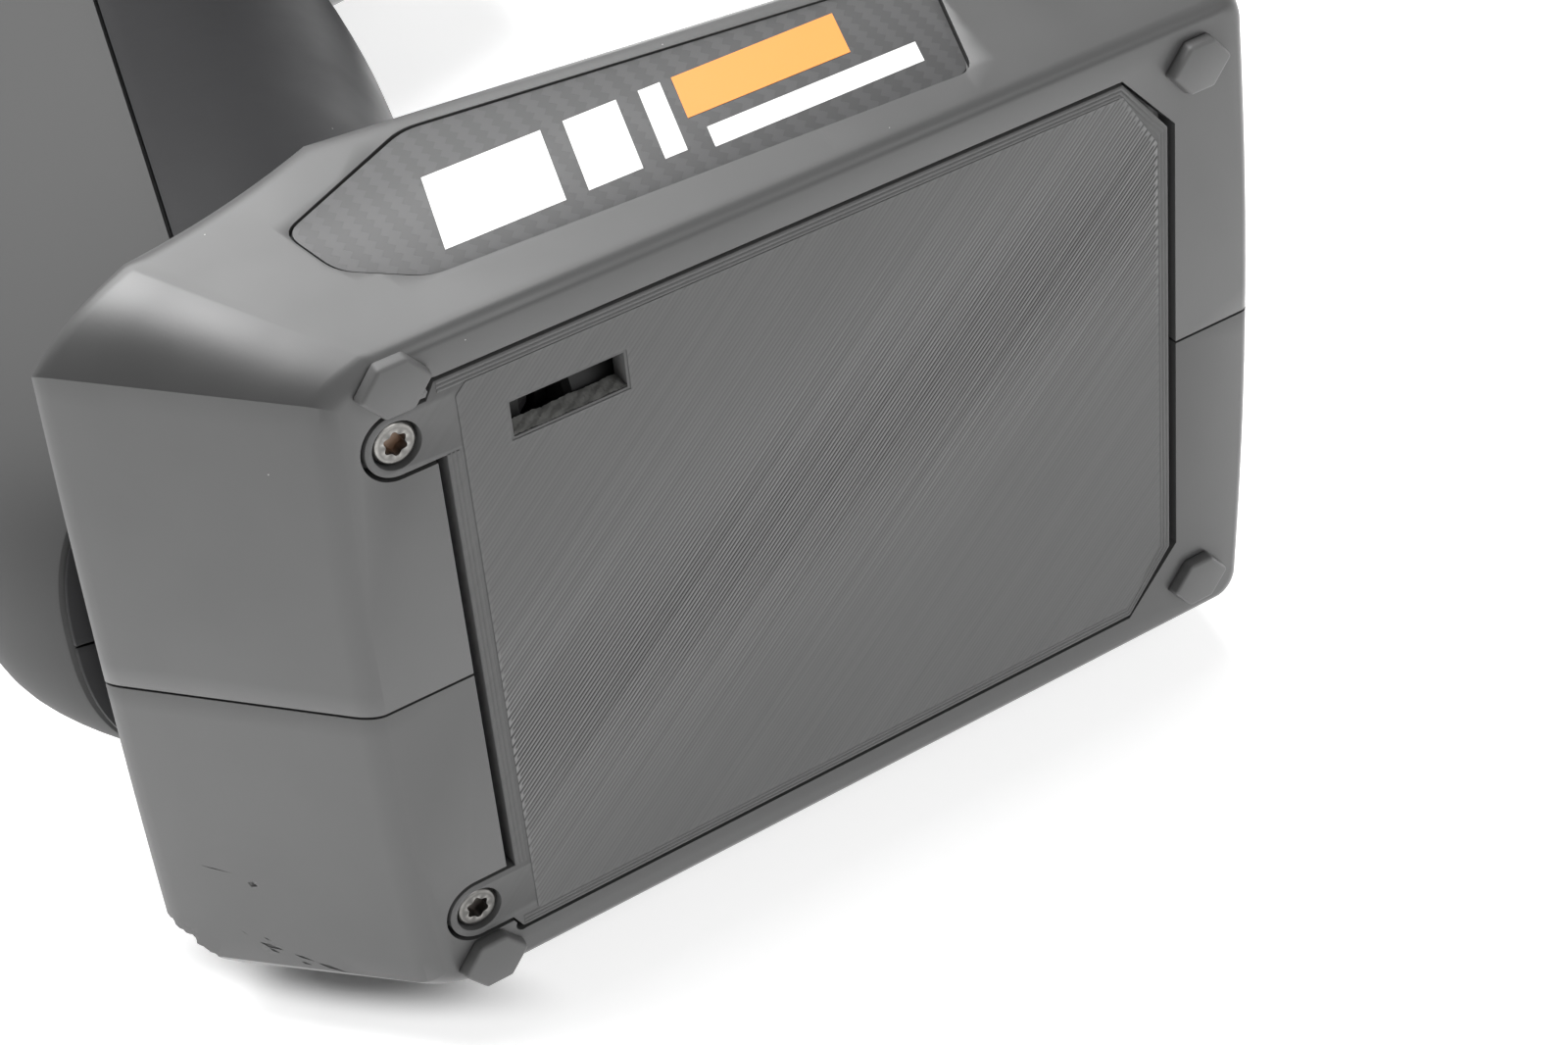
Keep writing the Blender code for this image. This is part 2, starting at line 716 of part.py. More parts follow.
def head_value(y, column):
    """Underside height, top height or half width of the head at a distance forward."""
    table = np.array(head_sections())
    return float(np.interp(y, table[:, 0], table[:, column]))


def head_top(x, y, growth=0.0):
    """Height of the head's grown skin above a point of its plan."""
    middle = (head_value(y, 1) + head_value(y, 2)) / 2
    tall, half = head_value(y, 2) - middle + growth, head_value(y, 3) + growth
    return middle + tall * (1.0 - abs(x / half) ** HEAD_SQUARENESS) ** (1.0 / HEAD_SQUARENESS)


def head_side(y, z, growth=0.0):
    """Distance of the head's grown skin from the parting plane at a point of its side view."""
    middle = (head_value(y, 1) + head_value(y, 2)) / 2
    tall, half = head_value(y, 2) - middle + growth, head_value(y, 3) + growth
    return half * (1.0 - abs((z - middle) / tall) ** HEAD_SQUARENESS) ** (1.0 / HEAD_SQUARENESS)


def head_skin_mesh(name, growth):
    """The head's skin, grown or shrunk all round."""
    angles = np.linspace(0.0, 2 * math.pi, HEAD_POINTS, endpoint=False)
    power = 2.0 / HEAD_SQUARENESS
    across = np.sign(np.cos(angles)) * np.abs(np.cos(angles)) ** power
    upright = np.sign(np.sin(angles)) * np.abs(np.sin(angles)) ** power
    reach = HEAD_LENGTH / 2
    centre = HEAD_REAR_Y + reach
    loops = []
    for y, bottom, top, half in head_sections():
        middle, tall = (top + bottom) / 2, (top - bottom) / 2 + growth
        place = centre + (y - centre) * (1.0 + growth / reach)
        loops.append(np.column_stack([across * (half + growth), np.full(HEAD_POINTS, place),
                                      middle + upright * tall]))
    return loft_mesh(name, loops)


def display_frame():
    """A frame on the sloping rear deck of the head: Y up the slope, Z out of the deck."""
    run = DISPLAY_LENGTH / 2
    low, high = head_value(DISPLAY_Y - run, 2), head_value(DISPLAY_Y + run, 2)
    slope = math.atan2(high - low, 2 * run)
    place = Matrix.Translation((0.0, DISPLAY_Y, (low + high) / 2))
    return place @ Matrix.Rotation(slope, 4, "X")


def slab_mesh(name, width, length, low, high, frame):
    """A slab centred on a frame, between two levels."""
    mesh = box_mesh(name, (-width / 2, -length / 2, low), (width / 2, length / 2, high))
    mesh.transform(frame)
    return mesh


# Sub-assemblies

def build_base():
    """Casing halves of the base, with rebate, bay, screw bosses, handle socket and label recess."""
    hollow = add_cutter("base_hollow", base_hollow_mesh())
    rebate_top = COVER_THICK + FIT
    rebate = add_cutter("cover_rebate", plate_mesh(
        "cover_rebate", [cover_outline(COVER_SIDE_GAP, COVER_END_GAP)], 2 * rebate_top))
    bay = add_cutter("battery_bay", plate_mesh("battery_bay", [bay_outline()], 4 * FLOOR_THICK))
    socket = add_cutter("handle_socket", handle_skin_mesh("handle_socket", FIT))
    recess = add_cutter("label_recess", plate_mesh(
        "label_recess", [grown(LABEL_CORNERS, FIT)], 2 * LABEL_DEPTH, flank_frame(0.0)))
    bosses, holes = [], []
    for side, word in ((1, "right"), (-1, "left")):
        x = side * EAR_X
        top = FLOOR_THICK + BOSS_HEIGHT
        bosses.append(add_cutter(f"boss_{word}", cylinder_mesh(
            f"boss_{word}", BOSS_RADIUS, (x, 0.0, FLOOR_THICK - FIT), (x, 0.0, top), COARSE)))
        holes.append(add_cutter(f"boss_hole_{word}", cylinder_mesh(
            f"boss_hole_{word}", SCREW_SHANK_RADIUS + FIT, (x, 0.0, -FIT), (x, 0.0, top + FIT), COARSE)))
    for side, word in ((1, "right"), (-1, "left")):
        casing = add_part(f"base_{word}", base_skin_mesh(), CASING_BLACK, ROOT)
        combine(casing, hollow, "DIFFERENCE")
        combine(casing, bosses[0 if side > 0 else 1], "UNION")
        for cutter in (rebate, bay, socket, *holes):
            combine(casing, cutter, "DIFFERENCE")
        if side > 0:
            combine(casing, recess, "DIFFERENCE")
        combine(casing, add_cutter(f"base_other_{word}", other_half(side)), "DIFFERENCE")
    label = plate_mesh("label_plate", [LABEL_CORNERS], LABEL_THICK,
                       flank_frame(LABEL_THICK / 2 + FIT / 2 - LABEL_DEPTH))
    add_part("label_plate", label, LABEL_CARBON, ROOT)


def foot_loop(draft, height):
    """Six-cornered outline of a foot, drawn in by its draft."""
    half, tip = FOOT_HALF_WIDTH - draft, FOOT_HALF_LENGTH - draft
    return [(half, -FOOT_FLAT, height), (half, FOOT_FLAT, height), (0.0, tip, height),
            (-half, FOOT_FLAT, height), (-half, -FOOT_FLAT, height), (0.0, -tip, height)]


def build_feet():
    """Four hexagonal rubber feet, corners fore and aft."""
    places = {"foot_rear_right": (FOOT_REAR_X, FOOT_REAR_Y), "foot_rear_left": (-FOOT_REAR_X, FOOT_REAR_Y),
              "foot_front_right": (FOOT_FRONT_X, FOOT_FRONT_Y),
              "foot_front_left": (-FOOT_FRONT_X, FOOT_FRONT_Y)}
    for name, (x, y) in places.items():
        loops = [foot_loop(FOOT_DRAFT, -FOOT_HEIGHT), foot_loop(0.0, -FOOT_SEAT_GAP)]
        foot = add_part(name, loft_mesh(name, loops), RUBBER_BLACK, ROOT, Matrix.Translation((x, y, 0.0)))
        soften(foot, FOOT_DRAFT, 1)


def build_cover():
    """Battery cover with its slot and counterbored ears, and the two socket-head screws."""
    cover = add_part("battery_cover", plate_mesh(
        "battery_cover", [cover_outline()], COVER_THICK,
        Matrix.Translation((0.0, 0.0, COVER_THICK / 2))), PRINTED_BLACK, ROOT)
    slot = box_mesh("cover_slot", (SLOT_X - SLOT_WIDTH / 2, SLOT_Y - SLOT_LENGTH / 2, -COVER_THICK),
                    (SLOT_X + SLOT_WIDTH / 2, SLOT_Y + SLOT_LENGTH / 2, 2 * COVER_THICK))
    combine(cover, add_cutter("cover_slot", slot), "DIFFERENCE")
    seat = SCREW_HEAD_SINK + SCREW_HEAD_HEIGHT
    for side, word in ((1, "right"), (-1, "left")):
        x = side * EAR_X
        bore = cylinder_mesh(f"counterbore_{word}", SCREW_HEAD_RADIUS + FIT,
                             (x, 0.0, -COVER_THICK), (x, 0.0, seat + RUNNING_GAP), COARSE)
        combine(cover, add_cutter(f"counterbore_{word}", bore), "DIFFERENCE")
        hole = cylinder_mesh(f"ear_hole_{word}", SCREW_SHANK_RADIUS + FIT,
                             (x, 0.0, 0.0), (x, 0.0, 2 * COVER_THICK), COARSE)
        combine(cover, add_cutter(f"ear_hole_{word}", hole), "DIFFERENCE")
        head, shank = SCREW_HEAD_RADIUS, SCREW_SHANK_RADIUS
        profile = [(0.0, SCREW_LENGTH), (shank, SCREW_LENGTH), (shank, seat), (head, seat),
                   (head, SCREW_HEAD_SINK + head * 0.2), (head * 0.8, SCREW_HEAD_SINK),
                   (0.0, SCREW_HEAD_SINK)]
        screw = turned_part(f"cover_screw_{word}", profile, SCREW_STEEL, ROOT,
                            Matrix.Translation((x, 0.0, 0.0)), COARSE)
        socket = cylinder_mesh(f"screw_socket_{word}", head * 0.5, (x, 0.0, -FIT),
                               (x, 0.0, SCREW_HEAD_SINK + SCREW_HEAD_HEIGHT * 0.7), 6)
        combine(screw, add_cutter(f"screw_socket_{word}", socket), "DIFFERENCE")


def build_battery():
    """Tray, cells side by side and the two contact strips."""
    pitch = 2 * CELL_RADIUS + CELL_SPACING
    half = (CELL_COUNT - 1) / 2 * pitch + CELL_RADIUS + CELL_SPACING
    low = COVER_THICK + 2 * FIT
    axis_z = low + CELL_SPACING + CELL_RADIUS
    roof = axis_z + CELL_RADIUS + CELL_SPACING
    contact_room = CONTACT_THICK + CONTACT_SPRING_HEIGHT + FIT
    rear, front = TRAY_Y, TRAY_Y + contact_room + CELL_LENGTH + CELL_NUB_HEIGHT + CONTACT_THICK + 4 * FIT
    flange_z = FLOOR_THICK + FIT
    tray = add_part("battery_tray", box_mesh(
        "battery_tray", (-half - TRAY_WALL, rear - TRAY_WALL, low),
        (half + TRAY_WALL, front + TRAY_WALL, roof + TRAY_WALL)), KEY_GREY, ROOT)
    flange = box_mesh("tray_flange",
                      (-half - TRAY_WALL - TRAY_FLANGE, rear - TRAY_WALL + FIT, flange_z),
                      (half + TRAY_WALL + TRAY_FLANGE, front + TRAY_WALL - FIT, flange_z + TRAY_FLANGE_THICK))
    combine(tray, add_cutter("tray_flange", flange), "UNION")
    combine(tray, add_cutter("tray_hollow", box_mesh(
        "tray_hollow", (-half, rear, -low), (half, front, roof))), "DIFFERENCE")
    cell_rear = rear + contact_room + FIT
    for i in range(CELL_COUNT):
        x = (i - (CELL_COUNT - 1) / 2) * pitch
        turn = 1 if i % 2 == 0 else -1
        body, nub = CELL_LENGTH / 2, CELL_LENGTH / 2 + CELL_NUB_HEIGHT
        profile = [(0.0, nub), (CELL_NUB_RADIUS, nub), (CELL_NUB_RADIUS, body), (CELL_RADIUS * 0.9, body),
                   (CELL_RADIUS, body - 0.0006), (CELL_RADIUS, -body), (0.0, -body)]
        middle = cell_rear + CELL_LENGTH / 2 + (0.0 if turn > 0 else CELL_NUB_HEIGHT)
        frame = Matrix.Translation((x, middle, axis_z)) @ Matrix.Rotation(math.radians(-90 * turn), 4, "X")
        turned_part(f"battery_cell_{i + 1}", profile, CELL_JACKET, ROOT, frame, MEDIUM)
    tall = CELL_RADIUS * 0.8
    for word, y, reach in (("rear", rear + FIT, 1), ("front", front - FIT, -1)):
        near, far = sorted((y, y + reach * CONTACT_THICK))
        wide = half - 2 * FIT
        strip = box_mesh(f"{word}_contacts", (-wide, near, axis_z - tall), (wide, far, axis_z + tall))
        contacts = add_part(f"{word}_contacts", strip, BRIGHT_STEEL, ROOT)
        if word == "rear":
            for i in range(CELL_COUNT):
                x = (i - (CELL_COUNT - 1) / 2) * pitch
                base = y + CONTACT_THICK - FIT
                cone = cylinder_mesh(f"contact_cone_{i + 1}", CELL_RADIUS * 0.6, (x, base, axis_z),
                                     (x, base + CONTACT_SPRING_HEIGHT, axis_z), 12, CELL_RADIUS * 0.3)
                combine(contacts, add_cutter(f"contact_cone_{i + 1}", cone), "UNION")


def build_handle():
    """Handle halves under the rubber grip, the grip itself and the thumb key on its left."""
    deepest = GRIP_THICK + CASING_WALL
    bottom, top = HANDLE_SECTIONS[0][0] + CASING_WALL, HANDLE_SECTIONS[-1][0] - CASING_WALL
    core = add_cutter("grip_core", handle_skin_mesh("grip_core", -GRIP_THICK))
    channel = add_cutter("grip_channel", grip_block_mesh("grip_channel", FIT / 2))
    combine(channel, core, "DIFFERENCE")
    hollow = add_cutter("handle_hollow", handle_skin_mesh("handle_hollow", -deepest, bottom, top))
    key_hole = add_cutter("grip_key_hole", cylinder_mesh(
        "grip_key_hole", GRIP_KEY_RADIUS + FIT, (-FAR, GRIP_KEY_Y, GRIP_KEY_Z),
        (-PARTING_GAP, GRIP_KEY_Y, GRIP_KEY_Z), MEDIUM))
    for side, word in ((1, "right"), (-1, "left")):
        half = add_part(f"handle_{word}", handle_skin_mesh(f"handle_{word}", 0.0), CASING_BLACK, ROOT)
        combine(half, channel, "DIFFERENCE")
        combine(half, hollow, "DIFFERENCE")
        if side < 0:
            combine(half, key_hole, "DIFFERENCE")
        combine(half, add_cutter(f"handle_other_{word}", other_half(side)), "DIFFERENCE")
    grip = add_part("rubber_grip", handle_skin_mesh("rubber_grip", 0.0), RUBBER_BLACK, ROOT)
    combine(grip, add_cutter("grip_block", grip_block_mesh("grip_block", -FIT / 2)), "INTERSECT")
    combine(grip, add_cutter("grip_inside", handle_skin_mesh("grip_inside", FIT - GRIP_THICK)), "DIFFERENCE")
    build_grip_key(deepest)


def handle_side(y, z, growth):
    """Distance of the handle's grown skin from the parting plane at a point of its side view."""
    table = np.array(HANDLE_SECTIONS)
    rear, front, half = (float(np.interp(z, table[:, 0], table[:, k])) + growth for k in (1, 2, 3))
    along = (y - handle_axis(z)) / (front if y > handle_axis(z) else rear)
    return half * (1.0 - abs(along) ** HANDLE_ROUNDNESS) ** (1.0 / HANDLE_ROUNDNESS)


def build_grip_key(depth):
    """Round thumb key through the left wall, held in by a collar behind it."""
    outer = handle_side(GRIP_KEY_Y, GRIP_KEY_Z, 0.0) + KEY_PROUD
    edge = GRIP_KEY_Y + GRIP_KEY_RADIUS + KEY_COLLAR
    inner = handle_side(edge, GRIP_KEY_Z, -depth) - 2 * FIT
    radius = GRIP_KEY_RADIUS
    profile = [(0.0, outer), (radius * 0.75, outer - 0.0002), (radius, outer - 0.0010), (radius, inner),
               (radius + KEY_COLLAR, inner), (radius + KEY_COLLAR, inner - KEY_COLLAR),
               (0.0, inner - KEY_COLLAR)]
    frame = Matrix.Translation((0.0, GRIP_KEY_Y, GRIP_KEY_Z)) @ Matrix.Rotation(math.radians(-90), 4, "Y")
    turned_part("grip_key", profile, KEY_GREY, ROOT, frame, MEDIUM)


def key_places():
    """Keys on the head's top: name and distance to the right."""
    return {"power_key": 0.0, "back_key": -KEY_PITCH, "clear_key": KEY_PITCH}


def rocker_places():
    """Trim rockers on the head's top: name, place in plan and whether the rocker runs fore and aft."""
    return {"steering_trim": (0.0, STEERING_TRIM_Y, False),
            "throttle_trim": (-THROTTLE_TRIM_X, THROTTLE_TRIM_Y, True)}


def rocker_half_size(fore_and_aft):
    """Half length across and half length along of a trim rocker."""
    across, along = ROCKER_WIDTH / 2, ROCKER_LENGTH / 2
    return (across, along) if fore_and_aft else (along, across)


def build_head():
    """Head halves with display recess, wheel and trigger openings, control holes and board shelves."""
    cutters, joins = [], []
    hollow = add_cutter("head_hollow", head_skin_mesh("head_hollow", -HEAD_WALL))
    frame = display_frame()
    recess_floor = -DISPLAY_RECESS - DISPLAY_SINK
    tub = add_cutter("display_tub", slab_mesh(
        "display_tub", DISPLAY_WIDTH + 2 * HEAD_WALL, DISPLAY_LENGTH + 2 * HEAD_WALL,
        recess_floor - HEAD_WALL, -DISPLAY_SINK - HEAD_WALL / 2, frame))
    joins.append(tub)
    cutters.append(add_cutter("display_recess", slab_mesh(
        "display_recess", DISPLAY_WIDTH + 2 * FIT, DISPLAY_LENGTH + 2 * FIT, recess_floor, FAR / 10, frame)))
    cutters.append(add_cutter("ribbon_slot", slab_mesh(
        "ribbon_slot", DISPLAY_WIDTH / 2, 0.0020, recess_floor - 2 * HEAD_WALL, recess_floor + FIT,
        display_frame())))
    cutters.append(add_cutter("handle_top_socket", handle_skin_mesh("handle_top_socket", FIT)))
    cutters.append(add_cutter("sleeve_hole", cylinder_mesh(
        "sleeve_hole", SLEEVE_RADIUS + FIT, (HEAD_WALL, WHEEL_Y, WHEEL_Z), (FAR, WHEEL_Y, WHEEL_Z), MEDIUM)))
    half_slot = TRIGGER_WIDTH / 2 + TRIGGER_SIDE_GAP
    reach = TRIGGER_ARM_WIDTH / 2 + TRIGGER_SWING_GAP
    cutters.append(add_cutter("trigger_slot", box_mesh(
        "trigger_slot", (-half_slot, TRIGGER_Y - reach, TRIGGER_Z - RING_DROP / 2),
        (half_slot, TRIGGER_Y + reach, TRIGGER_Z - TRIGGER_HUB_RADIUS / 2))))
    for side, word in ((1, "right"), (-1, "left")):
        near, far = sorted((side * (half_slot + FIT), side * (half_slot + FIT + CHEEK_THICK)))
        joins.append(add_cutter(f"trigger_cheek_{word}", box_mesh(
            f"trigger_cheek_{word}",
            (near, TRIGGER_Y - TRIGGER_HUB_RADIUS,
             head_value(TRIGGER_Y + TRIGGER_HUB_RADIUS, 1) + HEAD_WALL / 2),
            (far, TRIGGER_Y + TRIGGER_HUB_RADIUS, TRIGGER_Z + TRIGGER_HUB_RADIUS))))
        for board, level, rear, front in board_levels():
            inner = BOARD_HALF_WIDTH - SHELF_WIDTH
            wall = min(head_side(rear, level), head_side(front, level)) - HEAD_WALL / 2
            near, far = sorted((side * inner, side * wall))
            joins.append(add_cutter(f"{board}_shelf_{word}", box_mesh(
                f"{board}_shelf_{word}", (near, rear + FIT, level - FIT - SHELF_THICK),
                (far, front - FIT, level - FIT))))
    cutters.append(add_cutter("trigger_pin_hole", cylinder_mesh(
        "trigger_pin_hole", TRIGGER_PIN_RADIUS + RUNNING_GAP,
        (-half_slot - 2 * CHEEK_THICK, TRIGGER_Y, TRIGGER_Z),
        (half_slot + 2 * CHEEK_THICK, TRIGGER_Y, TRIGGER_Z), COARSE)))
    cutters += control_holes()
    for side, word in ((1, "right"), (-1, "left")):
        half = add_part(f"head_{word}", head_skin_mesh(f"head_{word}", 0.0), CASING_BLACK, ROOT)
        combine(half, hollow, "DIFFERENCE")
        for shape in joins:
            combine(half, shape, "UNION")
        for cutter in cutters:
            combine(half, cutter, "DIFFERENCE")
        combine(half, add_cutter(f"head_other_{word}", other_half(side)), "DIFFERENCE")


def control_holes():
    """Holes through the head's top for keys, dial, knob, rockers and lens."""
    top = head_value(KEY_ROW_Y, 2) + FAR / 10
    low = board_levels()[1][1] + BOARD_THICK + FIT
    holes = [(name, x, KEY_ROW_Y, KEY_RADIUS + FIT) for name, x in key_places().items()]
    holes += [("menu_dial", 0.0, DIAL_Y, STEM_RADIUS + FIT), ("aux_knob", KNOB_X, KNOB_Y, STEM_RADIUS + FIT),
              ("status_lens", 0.0, LENS_Y, LENS_RADIUS + FIT)]
    cutters = [add_cutter(f"{name}_hole", cylinder_mesh(
        f"{name}_hole", radius, (x, y, low), (x, y, top), COARSE)) for name, x, y, radius in holes]
    for name, (x, y, fore_and_aft) in rocker_places().items():
        across, along = rocker_half_size(fore_and_aft)
        across, along = across + ROCKER_CLEARANCE, along + ROCKER_CLEARANCE
        cutters.append(add_cutter(f"{name}_slot", box_mesh(
            f"{name}_slot", (x - across, y - along, low), (x + across, y + along, top))))
    return cutters


def board_levels():
    """Circuit boards: name, underside height, rear end and front end."""
    key_level = head_value(KEY_BOARD_FRONT_Y, 2) - KEY_BOARD_DROP
    return (("main_board", BOARD_Z, BOARD_REAR_Y, BOARD_FRONT_Y),
            ("key_board", key_level, KEY_BOARD_REAR_Y, KEY_BOARD_FRONT_Y))


def build_electronics():
    """Display, circuit boards, antenna board and buzzer."""
    floor = -DISPLAY_RECESS - DISPLAY_SINK
    window_top = -DISPLAY_SINK
    frame = display_frame()
    add_part("display_window", slab_mesh("display_window", DISPLAY_WIDTH, DISPLAY_LENGTH,
                                         window_top - WINDOW_THICK, window_top, frame), WINDOW_TINT, ROOT)
    add_part("display_panel", slab_mesh(
        "display_panel", DISPLAY_WIDTH - DISPLAY_LEDGE, DISPLAY_LENGTH - DISPLAY_LEDGE,
        floor + FIT, floor + FIT + PANEL_THICK, frame), PANEL_GREY, ROOT)
    for name, level, rear, front in board_levels():
        add_part(name, box_mesh(name, (-BOARD_HALF_WIDTH, rear, level),
                                (BOARD_HALF_WIDTH, front, level + BOARD_THICK)), BOARD_GREEN, ROOT)
    seat = BOARD_Z + BOARD_THICK + FIT
    add_part("antenna_board", box_mesh(
        "antenna_board", (-BOARD_HALF_WIDTH / 2, BOARD_FRONT_Y - 3 * BOARD_THICK, seat),
        (BOARD_HALF_WIDTH / 2, BOARD_FRONT_Y - 2 * BOARD_THICK, seat + ANTENNA_HEIGHT)), BOARD_GREEN, ROOT)
    middle = (-BOARD_HALF_WIDTH / 2, (BOARD_REAR_Y + BOARD_FRONT_Y) / 2)
    add_part("buzzer", cylinder_mesh("buzzer", BUZZER_RADIUS, (*middle, seat),
                                     (*middle, seat + BUZZER_HEIGHT), MEDIUM), RUBBER_BLACK, ROOT)


def build_steering():
    """Wheel, tyre, shaft, bearings, sleeve, centring spring and angle sensor."""
    side = max(head_value(WHEEL_Y + way * FLANGE_RADIUS, 3) for way in (-1, 0, 1)) + FIT
    outer = side + FLANGE_THICK
    inner = outer - FLANGE_THICK - SLEEVE_LENGTH
    bore, seat = SHAFT_RADIUS + 4 * FIT, BEARING_RADIUS + FIT
    profile = [(seat, outer), (FLANGE_RADIUS - 0.0010, outer), (FLANGE_RADIUS, outer - 0.0010),
               (FLANGE_RADIUS, side), (SLEEVE_RADIUS, side), (SLEEVE_RADIUS, inner), (seat, inner),
               (seat, inner + BEARING_WIDTH + FIT), (bore, inner + BEARING_WIDTH + FIT),
               (bore, outer - BEARING_WIDTH - FIT), (seat, outer - BEARING_WIDTH - FIT)]
    frame = along_x(WHEEL_Y, WHEEL_Z)
    turned_part("wheel_mount", profile, CASING_BLACK, ROOT, frame, FINE, closed=True)
    for word, low in (("outer", outer - BEARING_WIDTH - FIT / 2), ("inner", inner + FIT / 2)):
        race = SHAFT_RADIUS + RUNNING_GAP
        high = low + BEARING_WIDTH
        ring = [(race, high), (BEARING_RADIUS, high), (BEARING_RADIUS, low), (race, low)]
        turned_part(f"wheel_bearing_{word}", ring, BRIGHT_STEEL, ROOT, frame, MEDIUM, closed=True)
    coil_part("steering_spring", SLEEVE_RADIUS + SPRING_WIRE, SPRING_WIRE, SPRING_PITCH, SPRING_TURNS,
              (inner + SPRING_WIRE, WHEEL_Y, WHEEL_Z), BRIGHT_STEEL, ROOT)
    wheel = bpy.data.objects.new("wheel_axis", None)
    PARTS.objects.link(wheel)
    wheel.parent = ROOT
    wheel.matrix_local = along_x(WHEEL_Y, WHEEL_Z)
    start = outer + WHEEL_GAP
    build_wheel(wheel, start)
    hub_end = start + TYRE_WIDTH - WEB_OFFSET
    nut_low = hub_end + FIT
    shaft_end = nut_low + NUT_HEIGHT + SHAFT_END
    shaft_start = inner - SHAFT_END
    shaft = [(0.0, shaft_end), (SHAFT_RADIUS - 0.0004, shaft_end), (SHAFT_RADIUS, shaft_end - 0.0004),
             (SHAFT_RADIUS, shaft_start), (0.0, shaft_start)]
    turned_part("wheel_shaft", shaft, BRIGHT_STEEL, wheel, Matrix(), MEDIUM)
    outlines = [ring_points(NUT_FLATS / math.sqrt(3), 6), ring_points(SHAFT_RADIUS + RUNNING_GAP, MEDIUM)]
    place = Matrix.Translation((0.0, 0.0, nut_low + NUT_HEIGHT / 2))
    add_part("wheel_nut", plate_mesh("wheel_nut", outlines, NUT_HEIGHT, place), BRIGHT_STEEL, wheel)
    far = shaft_start - SENSOR_GAP
    half = SENSOR_SIZE / 2
    sensor = add_part("steering_sensor", box_mesh(
        "steering_sensor", (far - SENSOR_THICK, WHEEL_Y - half, WHEEL_Z - half),
        (far, WHEEL_Y + half, WHEEL_Z + half)), SENSOR_BLUE, ROOT)
    soften(sensor, 0.0008, 1)


def build_wheel(wheel, start):
    """Spoked wheel and its crowned foam tyre, both turned about the wheel's axis."""
    end = start + TYRE_WIDTH
    web_low = start + WEB_OFFSET
    web_high = web_low + WEB_THICK
    inside = RIM_RADIUS - RIM_THICK
    hub_end = end - WEB_OFFSET
    bore = SHAFT_RADIUS + RUNNING_GAP
    profile = [(inside, end), (RIM_RADIUS, end), (RIM_RADIUS, start), (inside, start), (inside, web_low),
               (HUB_RADIUS, web_low), (HUB_RADIUS, start + FIT), (bore, start + FIT), (bore, hub_end),
               (HUB_RADIUS, hub_end), (HUB_RADIUS + HUB_FLARE, web_high), (inside, web_high)]
    hub = turned_part("steering_wheel", profile, KEY_GREY, wheel, Matrix(), FINE, closed=True)
    window_in, window_out = HUB_RADIUS + SPOKE_ROOT, inside - SPOKE_TIP
    for i in range(SPOKE_COUNT):
        turn = 360.0 * i / SPOKE_COUNT
        span_out = 180.0 / SPOKE_COUNT - math.degrees(SPOKE_WIDTH / 2 / window_out)
        span_in = 180.0 / SPOKE_COUNT - math.degrees(SPOKE_WIDTH / 2 / window_in)
        outline = arc((0.0, 0.0), window_out, window_out, turn - span_out, turn + span_out, 9)
        outline += arc((0.0, 0.0), window_in, window_in, turn + span_in, turn - span_in, 5)
        window = add_cutter(f"spoke_window_{i + 1}", plate_mesh(
            f"spoke_window_{i + 1}", [outline], 4 * WEB_THICK, Matrix.Translation((0.0, 0.0, web_low))),
            along_x(WHEEL_Y, WHEEL_Z))
        combine(hub, window, "DIFFERENCE")
    bed = RIM_RADIUS + FIT
    steps = np.linspace(1.0, -1.0, 9)
    middle, half = (start + end) / 2, TYRE_WIDTH / 2
    crown = [(TYRE_RADIUS - TYRE_CROWN * s ** 2, middle + half * 0.86 * s) for s in steps]
    edge = TYRE_RADIUS - 3 * TYRE_CROWN
    tyre = [(bed, end), (edge, end), *crown, (edge, start), (bed, start)]
    turned_part("foam_tyre", tyre, FOAM_BLACK, wheel, Matrix(), FINE, closed=True)


def trigger_outlines():
    """Side outlines of the trigger about its pivot: hub, arm and finger ring, with ring hole and bore."""
    arm = TRIGGER_ARM_WIDTH / 2
    centre = (RING_FORWARD, -RING_DROP)
    ring_angle = math.degrees(math.acos(arm / RING_HALF_LENGTH))
    hub_angle = math.degrees(math.acos(arm / TRIGGER_HUB_RADIUS))
    hub = arc((0.0, 0.0), TRIGGER_HUB_RADIUS, TRIGGER_HUB_RADIUS, -hub_angle, 180.0 + hub_angle, 15)
    ring = arc(centre, RING_HALF_LENGTH, RING_HALF_HEIGHT, 180.0 - ring_angle, 360.0 + ring_angle, 33)
    hole = arc(centre, RING_HALF_LENGTH - RING_WALL, RING_HALF_HEIGHT - RING_WALL, 0.0, 348.0, 30)
    return [hub + ring, hole, ring_points(TRIGGER_PIN_RADIUS + RUNNING_GAP, COARSE)]


